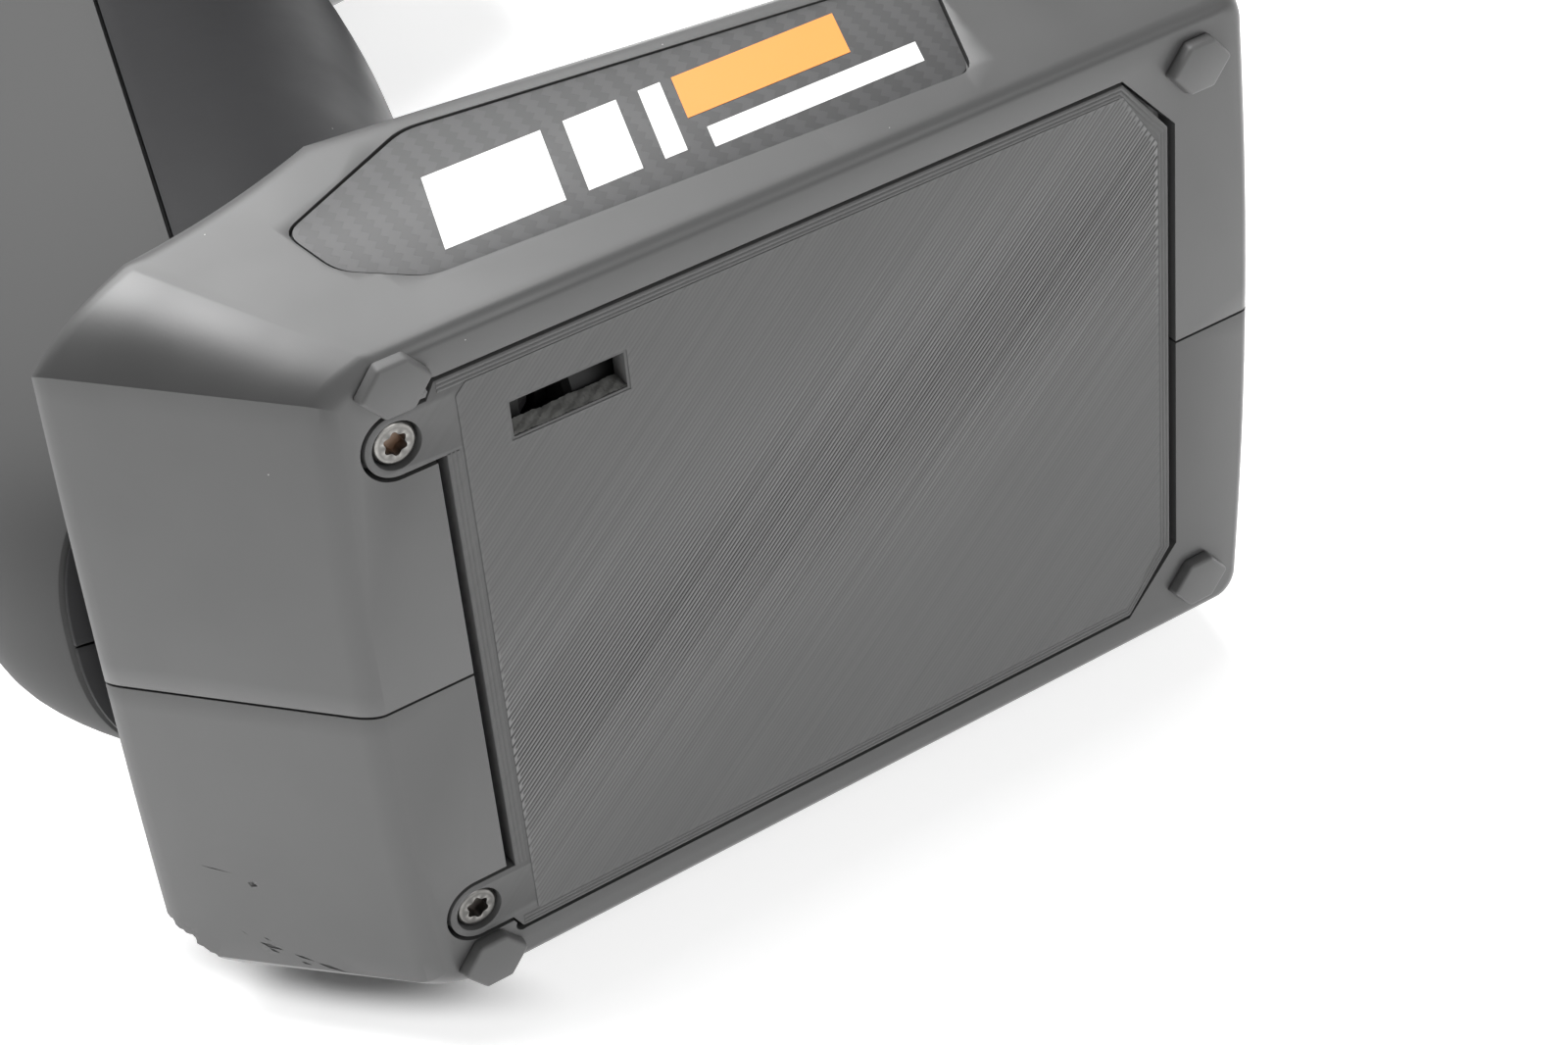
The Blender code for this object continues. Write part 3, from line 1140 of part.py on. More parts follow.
def build_trigger():
    """Trigger with its finger ring, pivot pin, return spring and angle sensor."""
    trigger = add_part("trigger", plate_mesh("trigger", trigger_outlines(), TRIGGER_WIDTH, side_frame()),
                       KEY_GREY, ROOT, Matrix.Translation((0.0, TRIGGER_Y, TRIGGER_Z)))
    soften(trigger, 0.0012, 2, 60)
    cheek = TRIGGER_WIDTH / 2 + TRIGGER_SIDE_GAP + FIT + CHEEK_THICK
    turns = 4
    radius = TRIGGER_PIN_RADIUS + TRIGGER_WIRE
    spring_start = -cheek - TRIGGER_WIRE - turns * TRIGGER_PITCH
    pin_end = spring_start - TRIGGER_WIRE
    add_part("trigger_pin", cylinder_mesh(
        "trigger_pin", TRIGGER_PIN_RADIUS, (pin_end, TRIGGER_Y, TRIGGER_Z),
        (cheek, TRIGGER_Y, TRIGGER_Z), COARSE), BRIGHT_STEEL, ROOT)
    coil_part("trigger_spring", radius, TRIGGER_WIRE, TRIGGER_PITCH, turns,
              (spring_start, TRIGGER_Y, TRIGGER_Z), BRIGHT_STEEL, ROOT)
    half = TRIGGER_SENSOR_HALF
    sensor = add_part("trigger_sensor", box_mesh(
        "trigger_sensor", (cheek + FIT, TRIGGER_Y - half, TRIGGER_Z - half),
        (cheek + FIT + SENSOR_THICK, TRIGGER_Y + half, TRIGGER_Z + half)), SENSOR_BLUE, ROOT)
    soften(sensor, 0.0008, 1)


def build_controls():
    """Keys, menu dial, auxiliary knob, trim rockers and status lens on the head's top."""
    reach = KEY_RADIUS + KEY_COLLAR
    for name, x in key_places().items():
        top = head_top(x, KEY_ROW_Y) + KEY_PROUD
        under = min(head_top(abs(x) + reach, KEY_ROW_Y + way * reach, -HEAD_WALL) for way in (-1, 1))
        low = under - FIT - KEY_COLLAR
        radius = KEY_RADIUS
        profile = [(0.0, top), (radius * 0.75, top - 0.0002), (radius, top - 0.0009), (radius, under - FIT),
                   (radius + KEY_COLLAR, under - FIT), (radius + KEY_COLLAR, low), (0.0, low)]
        turned_part(name, profile, KEY_GREY, ROOT, Matrix.Translation((x, KEY_ROW_Y, 0.0)), MEDIUM)
    level = board_levels()[1][1] + BOARD_THICK
    build_dial(level)
    build_knob(level)
    for name, place in rocker_places().items():
        build_rocker(name, *place)
    lens_top = head_value(LENS_Y, 2) + FIT
    lens = [(0.0, lens_top + FIT), (LENS_RADIUS * 0.7, lens_top), (LENS_RADIUS, lens_top - 2 * FIT),
            (LENS_RADIUS, lens_top - HEAD_WALL), (0.0, lens_top - HEAD_WALL)]
    turned_part("status_lens", lens, LENS_RED, ROOT, Matrix.Translation((0.0, LENS_Y, 0.0)), COARSE)


def build_dial(level):
    """Ridged menu dial on a stem, and the encoder that carries it on the key board."""
    under = max(head_value(DIAL_Y - DIAL_RADIUS, 2), head_value(DIAL_Y + DIAL_RADIUS, 2)) + 2 * FIT
    encoder_top = level + FIT + STEM_RADIUS
    ridges = 2 * DIAL_RIDGES
    turns = np.linspace(0.0, 2 * math.pi, ridges, endpoint=False)
    radii = [DIAL_RADIUS, DIAL_RADIUS - DIAL_RIDGE_DEPTH] * DIAL_RIDGES
    outline = [(r * math.cos(a), r * math.sin(a)) for a, r in zip(turns, radii)]
    dial = add_part("menu_dial", plate_mesh(
        "menu_dial", [outline], DIAL_HEIGHT, Matrix.Translation((0.0, 0.0, under + DIAL_HEIGHT / 2))),
        KEY_GREY, ROOT, Matrix.Translation((0.0, DIAL_Y, 0.0)))
    stem = add_cutter("menu_dial_stem", cylinder_mesh(
        "menu_dial_stem", STEM_RADIUS, (0.0, DIAL_Y, encoder_top + FIT), (0.0, DIAL_Y, under + FIT), COARSE))
    combine(dial, stem, "UNION")
    half = DIAL_RADIUS * 0.7
    add_part("dial_encoder", box_mesh("dial_encoder", (-half, DIAL_Y - half, level + FIT),
                                      (half, DIAL_Y + half, encoder_top)), SENSOR_BLUE, ROOT)


def build_knob(level):
    """Fluted auxiliary knob on a stem, and the potentiometer under it."""
    under = max(head_value(KNOB_Y - KNOB_RADIUS, 2), head_value(KNOB_Y + KNOB_RADIUS, 2)) + 2 * FIT
    pot_top = level + FIT + STEM_RADIUS
    frame = Matrix.Translation((KNOB_X, KNOB_Y, 0.0))
    top = under + KNOB_HEIGHT
    profile = [(0.0, top), (KNOB_RADIUS * 0.80, top), (KNOB_RADIUS * 0.90, top - 0.0008),
               (KNOB_RADIUS, under), (STEM_RADIUS, under), (STEM_RADIUS, pot_top + FIT), (0.0, pot_top + FIT)]
    knob = turned_part("aux_knob", profile, KEY_GREY, ROOT, frame, MEDIUM)
    for i in range(KNOB_FLUTES):
        turn = 2 * math.pi * (i + 0.5) / KNOB_FLUTES
        reach = KNOB_RADIUS * 1.05
        place = Vector((KNOB_X + reach * math.cos(turn), KNOB_Y + reach * math.sin(turn)))
        flute = cylinder_mesh(f"knob_flute_{i + 1}", KNOB_RADIUS * 0.16, (*place, under + 0.0012),
                              (*place, top + FIT), 10)
        combine(knob, add_cutter(f"knob_flute_{i + 1}", flute), "DIFFERENCE")
    half = KNOB_RADIUS
    add_part("knob_potentiometer", box_mesh(
        "knob_potentiometer", (KNOB_X - half, KNOB_Y - half, level + FIT),
        (KNOB_X + half, KNOB_Y + half, pot_top)), SENSOR_BLUE, ROOT)


def build_rocker(name, x, y, fore_and_aft):
    """Trim rocker: a dished bar that tips about a pivot below the head's skin."""
    top = head_top(x, y)
    tall, half = ROCKER_PROUD + ROCKER_DEPTH, ROCKER_LENGTH / 2
    dish = [(u, ROCKER_PROUD - 0.0008 * (1.0 - (u / half) ** 2)) for u in np.linspace(half, -half, 9)]
    foot = [(-half, -HEAD_WALL * 0.6), (-half * 0.3, ROCKER_PROUD - tall), (half * 0.3, ROCKER_PROUD - tall),
            (half, -HEAD_WALL * 0.6)]
    frame = side_frame()
    if not fore_and_aft:
        frame = Matrix.Rotation(math.radians(-90), 4, "Z") @ frame
    mesh = plate_mesh(name, [dish + foot], ROCKER_WIDTH, frame)
    rocker = add_part(name, mesh, KEY_GREY, ROOT, Matrix.Translation((x, y, top)))
    soften(rocker, 0.0005, 1, 60)


def stand_on_origin():
    """Move the whole transmitter so that its feet stand on the ground, centred on the origin."""
    graph = bpy.context.evaluated_depsgraph_get()
    corners = []
    for item in PARTS.objects:
        if item.type != "EMPTY":
            solid = item.evaluated_get(graph)
            mesh = solid.to_mesh()
            corners += [solid.matrix_world @ vertex.co for vertex in mesh.vertices]
            solid.to_mesh_clear()
    corners = np.array(corners)
    low, high = corners.min(axis=0), corners.max(axis=0)
    ROOT.location = (-(low[0] + high[0]) / 2, -(low[1] + high[1]) / 2, -low[2])
    bpy.context.view_layer.update()


clear_scene()
PARTS = new_collection("radio_transmitter")
CUTTERS = new_collection("cutting_shapes")
ROOT = bpy.data.objects.new("transmitter", None)
PARTS.objects.link(ROOT)
build_base()
build_feet()
build_cover()
build_battery()
build_handle()
build_head()
build_electronics()
build_steering()
build_trigger()
build_controls()
stand_on_origin()
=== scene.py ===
"""Pistol-grip radio transmitter, dressed for a picture of its underside and right flank.

Each sub-assembly is a class. Shapes are worked out as whole numpy arrays in the casing's own axes (X to
the operator's right from the parting plane, Y forward from the cover screws, Z up from the underside)
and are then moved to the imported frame. Lengths are in metres and angles in degrees.
"""
from __future__ import annotations

import logging
import math
from contextlib import contextmanager
from dataclasses import dataclass, replace
from enum import Enum
from typing import Iterator, Sequence

import bmesh
import bpy
import numpy as np
from mathutils import Matrix, Vector


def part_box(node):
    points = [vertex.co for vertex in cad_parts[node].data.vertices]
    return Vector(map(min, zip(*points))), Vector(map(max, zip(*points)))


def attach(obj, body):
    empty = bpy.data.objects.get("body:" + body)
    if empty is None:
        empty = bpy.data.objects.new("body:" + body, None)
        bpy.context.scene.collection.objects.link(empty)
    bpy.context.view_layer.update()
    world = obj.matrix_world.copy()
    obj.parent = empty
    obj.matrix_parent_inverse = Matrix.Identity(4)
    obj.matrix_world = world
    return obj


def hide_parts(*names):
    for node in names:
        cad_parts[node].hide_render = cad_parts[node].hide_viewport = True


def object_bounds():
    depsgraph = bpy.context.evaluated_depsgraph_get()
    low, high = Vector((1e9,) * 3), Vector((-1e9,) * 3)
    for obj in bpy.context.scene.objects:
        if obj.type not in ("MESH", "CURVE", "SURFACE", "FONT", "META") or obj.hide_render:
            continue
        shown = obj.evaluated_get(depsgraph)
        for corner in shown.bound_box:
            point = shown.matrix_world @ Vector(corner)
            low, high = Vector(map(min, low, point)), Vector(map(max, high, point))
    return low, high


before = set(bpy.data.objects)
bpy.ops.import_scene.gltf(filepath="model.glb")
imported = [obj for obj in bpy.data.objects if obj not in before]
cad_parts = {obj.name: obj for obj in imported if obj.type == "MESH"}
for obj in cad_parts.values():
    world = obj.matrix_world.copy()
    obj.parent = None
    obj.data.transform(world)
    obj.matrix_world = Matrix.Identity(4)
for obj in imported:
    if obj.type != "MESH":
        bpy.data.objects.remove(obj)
CAD_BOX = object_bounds()
LOG = logging.getLogger("transmitter")

Pair = tuple[float, float]
Triple = tuple[float, float, float]
Row = tuple[float, float, float, float]
Socket = bpy.types.NodeSocket
Value = Socket | float | Triple
Item = bpy.types.Object

SHARP = 32.0  # degrees between two faces from which their edge counts as sharp
COPY_SHARP = 40.0  # the same for a copy of a CAD node whose edges are eased
COPY_FLAT = 1.0  # degrees up to which faces of such a copy are merged
DOUBLES = 1e-7  # distance up to which a new surface's points are merged
COPY_DOUBLES = 1e-6  # the same for a copy of a CAD node
POLE = 0.0001  # radius of the small flat at each end of a turned profile
BEYOND = 0.01  # how far a cutting shape reaches past the face that it opens
FAR = 0.2  # reach of a shape that bounds a whole piece
FIT = 0.0003  # clearance round a piece that sits in an opening
PARTING_GAP = 0.0003  # gap between the two halves of a casing
COVER_FRONT = 0.0892  # from the cover screws to the front of the battery cover
LINE_PITCH = 0.00044  # from one printed line of the cover to the next
LINE_ANGLE = 46.7  # between the printed lines and the way to the right


class Boolean(Enum):
    """How one shape works on another."""

    CUT = "DIFFERENCE"
    JOIN = "UNION"
    KEEP = "INTERSECT"


class Side(Enum):
    """Sides of the parting plane."""

    RIGHT = 1
    LEFT = -1

    @property
    def word(self) -> str:
        """Lower-case name of the side."""
        return self.name.lower()


# Mesh tools


@dataclass
class Surface:
    """Vertices and faces of a shape."""

    vertices: np.ndarray
    faces: list[tuple[int, ...]]

    @classmethod
    def of(cls, item: Item) -> Surface:
        """The surface of an object's mesh."""
        return cls(vertex_array(item), [tuple(face.vertices) for face in item.data.polygons])

    def joined(self, other: Surface) -> Surface:
        """Put two surfaces into one.

        Args:
            other: The surface to add.

        Returns:
            A surface with the vertices and faces of both.
        """
        offset = len(self.vertices)
        moved = [tuple(i + offset for i in face) for face in other.faces]
        return Surface(np.vstack([self.vertices, other.vertices]), self.faces + moved)

    def at(self, x: float, y: float) -> Surface:
        """The surface moved along X and Y."""
        return self.moved(Matrix.Translation((x, y, 0.0)))

    def moved(self, matrix: Matrix) -> Surface:
        """The surface carried into another frame."""
        array = np.array(matrix)
        return Surface(self.vertices @ array[:3, :3].T + array[:3, 3], self.faces)

    def as_object(self, name: str) -> Item:
        """Make an object of the surface, with doubles merged and faces turned outward.

        Args:
            name: Name of the object.

        Returns:
            The new object.
        """
        mesh = bpy.data.meshes.new(name)
        mesh.from_pydata(self.vertices.tolist(), [], self.faces)
        with opened(mesh) as bm:
            bmesh.ops.remove_doubles(bm, verts=bm.verts, dist=DOUBLES)
            bmesh.ops.recalc_face_normals(bm, faces=bm.faces)
        return linked(name, mesh)


@contextmanager
def opened(mesh: bpy.types.Mesh) -> Iterator[bmesh.types.BMesh]:
    """Open a mesh for editing and write it back at the end.

    Args:
        mesh: The mesh to edit.

    Yields:
        Its editing form.
    """
    bm = bmesh.new()
    bm.from_mesh(mesh)
    yield bm
    bm.to_mesh(mesh)
    bm.free()


def linked(name: str, data: bpy.types.ID) -> Item:
    """Put new data into the scene.

    Args:
        name: Name of the object.
        data: Its mesh, lamp or camera.

    Returns:
        The new object.
    """
    item = bpy.data.objects.new(name, data)
    bpy.context.scene.collection.objects.link(item)
    return item


def grid_faces(rows: int, columns: int, closed: bool) -> list[tuple[int, ...]]:
    """Quads of a grid: each joins two neighbours of a row to the same two of the next row.

    Args:
        rows: Count of rows.
        columns: Count of points in a row.
        closed: Whether each row joins its last point to its first.

    Returns:
        Vertex numbers of each quad.
    """
    across = np.arange(columns if closed else columns - 1)
    row = np.arange(rows - 1)[:, None] * columns
    here, there = row + across, row + (across + 1) % columns
    quads = np.stack([here, there, there + columns, here + columns], -1)
    return [tuple(quad) for quad in quads.reshape(-1, 4).tolist()]


def open_sheet(points: np.ndarray) -> Surface:
    """An open sheet over a grid of points."""
    return Surface(points.reshape(-1, 3), grid_faces(*points.shape[:2], False))


def loft(loops: np.ndarray) -> Surface:
    """A skin carried through loops of equal counts, closed by a flat face at each end.

    Args:
        loops: Array of loops, points and coordinates.

    Returns:
        The closed skin.
    """
    rows, columns = loops.shape[:2]
    faces = grid_faces(rows, columns, True)
    faces += [tuple(reversed(range(columns))), tuple(range((rows - 1) * columns, rows * columns))]
    return Surface(loops.reshape(-1, 3), faces)


def angles(steps: int) -> np.ndarray:
    """Even angles round one turn, in radians."""
    return np.linspace(0.0, 2 * math.pi, steps, endpoint=False)


def lathe(profile: np.ndarray, steps: int, relief: np.ndarray | float = 0.0,
          ring: bool = False) -> Surface:
    """Carry a profile of radius and height round the Z axis.

    A point is at radius times the cosine and sine of the angle, and at the profile's height.

    Args:
        profile: Rows of radius and height, from pole to pole or round a ring's section.
        steps: Count of angles.
        relief: Share by which the radius grows at each row and angle.
        ring: Whether the profile closes on itself and leaves a hole in the middle.

    Returns:
        The turned skin.
    """
    turn = angles(steps)
    radius = profile[:, :1] * (1.0 + relief)
    height = np.broadcast_to(profile[:, 1:], (len(profile), steps))
    points = np.stack([radius * np.cos(turn), radius * np.sin(turn), height], -1)
    if not ring:
        return loft(points)
    points = np.concatenate([points, points[:1]])
    return Surface(points.reshape(-1, 3), grid_faces(len(points), steps, True))


def quadratic(start: np.ndarray, pull: np.ndarray, end: np.ndarray, count: int) -> np.ndarray:
    """Quadratic curve: points weighted by way left squared, twice left times gone, way gone squared."""
    t = np.linspace(0.0, 1.0, count)[:, None]
    return (1 - t) ** 2 * start + 2 * t * (1 - t) * pull + t ** 2 * end


def rounded_profile(corners: Sequence[Triple], steps: int = 5) -> np.ndarray:
    """Round the corners of an open profile.

    Each inner corner gives way to a quadratic curve that starts and ends its rounding's length away.

    Args:
        corners: First coordinate, second coordinate and rounding of each corner.
        steps: Points on each rounded corner.

    Returns:
        Rows of the rounded profile.
    """
    points = np.array(corners, float)
    rows = [points[:1, :2]]
    for before, here, after in zip(points[:, :2], points[1:], points[2:, :2]):
        corner, size = here[:2], here[2]
        start, end = (corner + way / np.linalg.norm(way) * size
                      for way in (before - corner, after - corner))
        rows.append(quadratic(start, corner, end, steps) if size > 0.0 else corner[None])
    return np.vstack([*rows, points[-1:, :2]])


def mirrored(half: np.ndarray) -> np.ndarray:
    """An outline's right half and its mirror image on the left."""
    return np.vstack([half, half[::-1] * (-1.0, 1.0)])


def prism(outline: np.ndarray, low: float, high: float) -> Surface:
    """A straight prism on an outline in the XY plane, between two heights."""
    return loft(np.array([np.column_stack([outline, np.full(len(outline), z)]) for z in (low, high)]))


def box(low: Sequence[float], high: Sequence[float]) -> Surface:
    """A box between two corners."""
    (x0, y0, z0), (x1, y1, z1) = low, high
    return prism(np.array([(x0, y0), (x1, y0), (x1, y1), (x0, y1)]), z0, z1)


def cylinder(radius: float, low: float, high: float, steps: int = 48) -> Surface:
    """A cylinder on the Z axis."""
    turn = angles(steps)
    return prism(radius * np.column_stack([np.cos(turn), np.sin(turn)]), low, high)


def arc(centre: Pair, radius: Pair, start: float, end: float, count: int) -> np.ndarray:
    """Points of an elliptic arc: the centre plus each radius times the angle's cosine or sine."""
    angle = np.radians(np.linspace(start, end, count))
    return np.array(centre) + np.column_stack([np.cos(angle), np.sin(angle)]) * radius


def superellipse(points: int, power: float) -> tuple[np.ndarray, np.ndarray]:
    """Unit superellipse: cosine and sine, each to two over the power with its sign kept."""
    angle = (np.arange(points) + 0.5) * 2 * math.pi / points
    return tuple(np.sign(c) * np.abs(c) ** (2.0 / power) for c in (np.cos(angle), np.sin(angle)))


def between(rows: np.ndarray, fine: int) -> np.ndarray:
    """Rising values with evenly spaced ones between neighbours, so many steps for each."""
    steps = [np.linspace(a, b, fine + 1)[:-1] for a, b in zip(rows, rows[1:])]
    return np.append(np.concatenate(steps), rows[-1])


def ripples(u: np.ndarray, v: np.ndarray, waves: Sequence[Row]) -> np.ndarray:
    """Sum of sine waves, each with a height, radians per millimetre along u and v, and a start."""
    return sum(h * np.sin(1000.0 * (p * u + q * v) + start) for h, p, q, start in waves)


def axes_frame(*columns: Sequence[float]) -> Matrix:
    """Frame with three axes and a place as its columns."""
    return Matrix([*np.column_stack([tuple(c) for c in columns]).tolist(), (0.0, 0.0, 0.0, 1.0)])


def sideways(y: float, z: float, side: Side) -> Matrix:
    """Frame whose Z axis points out of a side."""
    turn = Matrix.Rotation(math.radians(90.0 * side.value), 4, "Y")
    return Matrix.Translation((0.0, y, z)) @ turn


def beyond_parting(side: Side) -> Surface:
    """Everything that isn't a side's own half."""
    near, far = sorted((side.value * PARTING_GAP / 2, -side.value * FAR))
    return box((near, -FAR, -FAR), (far, FAR, 2 * FAR))


def work(item: Item, how: Boolean, *shapes: Surface) -> None:
    """Let shapes cut, join or bound an object, one after the other.

    Args:
        item: The object to change.
        how: The kind of work.
        *shapes: The working shapes, in the object's own frame.
    """
    for shape in shapes:
        tool = shape.as_object("tool")
        modifier = item.modifiers.new("work", "BOOLEAN")
        modifier.operation = how.value
        modifier.solver = "EXACT"
        modifier.object = tool
        bake(item)
        mesh = tool.data
        bpy.data.objects.remove(tool)
        bpy.data.meshes.remove(mesh)


def bake(item: Item) -> None:
    """Make an object's modifiers part of its mesh.

    Args:
        item: The object to change.
    """
    graph = bpy.context.evaluated_depsgraph_get()
    graph.update()
    mesh, old = bpy.data.meshes.new_from_object(item.evaluated_get(graph)), item.data
    item.modifiers.clear()
    item.data = mesh
    bpy.data.meshes.remove(old)


def ease_edges(item: Item, width: float, segments: int = 2, angle: float = SHARP) -> None:
    """Round an object's sharp edges and bake the result.

    Args:
        item: The object to change.
        width: Width of the rounding.
        segments: Steps of the rounding.
        angle: Edges sharper than this are rounded.
    """
    modifier = item.modifiers.new("rounding", "BEVEL")
    modifier.width = width
    modifier.segments = segments
    modifier.limit_method = "ANGLE"
    modifier.angle_limit = math.radians(angle)
    modifier.use_clamp_overlap = True
    bake(item)


def face_down(item: Item) -> Item:
    """Turn an open sheet's faces so that they look down.

    Args:
        item: The sheet.

    Returns:
        The same sheet.
    """
    with opened(item.data) as bm:
        bmesh.ops.reverse_faces(bm, faces=[face for face in bm.faces if face.normal.z > 0.0])
    return item


def vertex_array(item: Item) -> np.ndarray:
    """Read an object's vertices.

    Args:
        item: The object.

    Returns:
        Rows of X, Y and Z.
    """
    flat = np.empty(len(item.data.vertices) * 3)
    item.data.vertices.foreach_get("co", flat)
    return flat.reshape(-1, 3)


def mark(item: Item, name: str, values: np.ndarray) -> None:
    """Store one number per vertex under a name that a finish reads."""
    layer = item.data.attributes.new(name, "FLOAT", "POINT")
    layer.data.foreach_set("value", values.astype(np.float32))


# Places and pieces


def node_box(node: str) -> np.ndarray:
    """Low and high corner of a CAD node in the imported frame."""
    return np.array([tuple(corner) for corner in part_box(node)])


def casing_origin() -> np.ndarray:
    """Place of the casing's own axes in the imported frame, from the battery cover's box."""
    low, high = node_box("battery_cover")
    return np.array([(low[0] + high[0]) / 2, high[1] - COVER_FRONT, low[2]])


ORIGIN = casing_origin()


def dress(item: Item, finish: Finish, body: str, nodes: Sequence[str] = (),
          placed: bool = False) -> None:
    """Place a piece, give it its finish, and tie it to its body.

    Args:
        item: The piece.
        finish: Its finish.
        body: The CAD body that it moves with.
        nodes: CAD nodes that it stands for.
        placed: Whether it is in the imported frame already.
    """
    if not placed:
        item.data.transform(Matrix.Translation(ORIGIN))
    item.data.shade_smooth()
    item.data.set_sharp_from_angle(angle=math.radians(SHARP))
    item.data.materials.clear()
    item.data.materials.append(finish.material())
    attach(item, body)
    if nodes:
        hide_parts(*nodes)
    LOG.info("%s: %d faces on %s", item.name, len(item.data.polygons), body)


def dress_copy(node: str, name: str, finish: Finish, body: str, slot: str, rounding: float) -> None:
    """Dress a copy of a CAD node, with flat faces merged and edges eased.

    Args:
        node: The CAD node.
        name: Name of the copy.
        finish: Its finish.
        body: The CAD body that it moves with.
        slot: A material slot's name; not used.
        rounding: Width of the eased edges, or zero for none.
    """
    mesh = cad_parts[node].data.copy()
    mesh.name = name
    with opened(mesh) as bm:
        bmesh.ops.remove_doubles(bm, verts=bm.verts, dist=COPY_DOUBLES)
        bmesh.ops.dissolve_limit(bm, angle_limit=math.radians(COPY_FLAT), verts=bm.verts,
                                 edges=bm.edges)
    item = linked(name, mesh)
    if rounding > 0.0:
        ease_edges(item, rounding, angle=COPY_SHARP)
    dress(item, finish, body, [node], placed=True)


# Finishes


class Board:
    """The node tree of a material or world, with short calls for adding and joining nodes."""

    def __init__(self, owner: bpy.types.Material | bpy.types.World) -> None:
        """Start on the nodes that the owner comes with."""
        owner.use_nodes = True
        self.owner, self.tree = owner, owner.node_tree

    @property
    def shader(self) -> bpy.types.Node:
        """The material's Principled shader."""
        return self.tree.nodes["Principled BSDF"]

    def add(self, kind: str, **values: Value | str) -> bpy.types.Node:
        """Add a node and set its properties and inputs.

        Args:
            kind: Node type without its prefix.
            **values: Properties by name, and inputs by name with underscores for spaces or by number
                after an i.

        Returns:
            The node.
        """
        node = self.tree.nodes.new(f"ShaderNode{kind}")
        for key, value in values.items():
            if hasattr(node, key) and key not in node.inputs:
                setattr(node, key, value)
                continue
            socket = node.inputs[int(key[1:]) if key[1:].isdigit() else key.replace("_", " ")]
            if isinstance(value, Socket):
                self.tree.links.new(value, socket)
            else:
                socket.default_value = value
        return node

    def join(self, socket: Socket, name: str, node: str = "Principled BSDF") -> None:
        """Join a socket to an input of a node that the tree came with."""
        self.tree.links.new(socket, self.tree.nodes[node].inputs[name])

    def math(self, operation: str, first: Value, second: Value) -> Socket:
        """Work one number out from two."""
        return self.add("Math", operation=operation, i0=first, i1=second).outputs[0]

    def ramp(self, value: Socket, source: Pair, target: Pair) -> Socket:
        """Carry a value from one range to another, held at the ends."""
        return self.add("MapRange", Value=value, From_Min=source[0], From_Max=source[1],
                        To_Min=target[0], To_Max=target[1]).outputs[0]

    def places(self) -> Socket:
        """Object coordinates."""
        return self.add("TexCoord").outputs["Object"]

    def marks(self, name: str) -> Socket:
        """Numbers that the piece's vertices carry under a name."""
        return self.add("Attribute", attribute_name=name).outputs["Fac"]

    def noise(self, size: float, detail: float, places: Socket | None = None) -> Socket:
        """Soft noise whose blobs are about a size across, with levels of finer noise."""
        return self.add("TexNoise", Vector=places or self.places(), Scale=1.0 / size,
                        Detail=detail).outputs[0]

    def blend(self, share: Value, first: Value, second: Value) -> Socket:
        """Mix two colours by the share of the second."""
        first, second = (c if isinstance(c, Socket) else (*c, 1.0) for c in (first, second))
        return self.add("Mix", data_type="RGBA", i0=share, i6=first, i7=second).outputs[2]

    def near(self, centre: Sequence[float], radius: float) -> Socket:
        """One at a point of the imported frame, falling to zero a radius away."""
        gap = self.add("VectorMath", operation="DISTANCE", i0=self.places(), i1=tuple(centre))
        return self.ramp(gap.outputs["Value"], (0.0, radius), (1.0, 0.0))

    def specks(self, spacing: float, radius: float, share: float) -> Socket:
        """Scattered dots, such as dust.

        Args:
            spacing: Distance between places that may hold a dot.
            radius: Radius of a dot.
            share: Share of the places that hold one.

        Returns:
            One in a dot and zero elsewhere.
        """
        cells = self.add("TexVoronoi", Vector=self.places(), Scale=1.0 / spacing).outputs
        inside = self.math("LESS_THAN", cells["Distance"], radius / spacing)
        red = self.add("SeparateColor", Color=cells["Color"]).outputs[0]
        return self.math("MULTIPLY", inside, self.math("LESS_THAN", red, share))

    def emboss(self, height: Socket, depth: float) -> None:
        """Give the shader a relief of a depth in metres."""
        bump = self.add("Bump", Height=height, Distance=depth, Strength=1.0)
        self.join(bump.outputs[0], "Normal")


@dataclass(frozen=True)
class Finish:
    """An even finish with a fine grain."""

    name: str
    colour: Triple
    roughness: float = 0.5
    metallic: float = 0.0
    grain: float = 0.0005
    grain_depth: float = 0.000004
    mottle: float = 0.06
    blotch: float = 0.012
    specular: float = 0.5

    def material(self) -> bpy.types.Material:
        """The finish's material, made once."""
        return bpy.data.materials.get(self.name) or self.build()

    def build(self) -> bpy.types.Material:
        """Make the material: even values on the shader's own sockets, then the finish's pattern.

        Returns:
            The new material.
        """
        board = Board(bpy.data.materials.new(self.name))
        plain = (*self.colour, 1.0)
        for name, value in (("Base Color", plain), ("Roughness", self.roughness),
                            ("Metallic", self.metallic), ("Specular IOR Level", self.specular)):
            board.shader.inputs[name].default_value = value
        board.owner.diffuse_color = plain
        self.paint(board)
        return board.owner

    def shade(self, factor: float) -> Triple:
        """The colour, made darker or lighter by a factor."""
        return tuple(c * factor for c in self.colour)

    def mottled(self, board: Board) -> Socket:
        """The colour in soft blotches between a darker and a lighter shade."""
        dark, light = self.shade(1.0 - self.mottle), self.shade(1.0 + self.mottle)
        return board.blend(board.noise(self.blotch, 3.0), dark, light)

    def paint(self, board: Board) -> None:
        """Mottled colour over a fine grain."""
        board.join(self.mottled(board), "Base Color")
        board.emboss(board.noise(self.grain, 3.0), self.grain_depth)


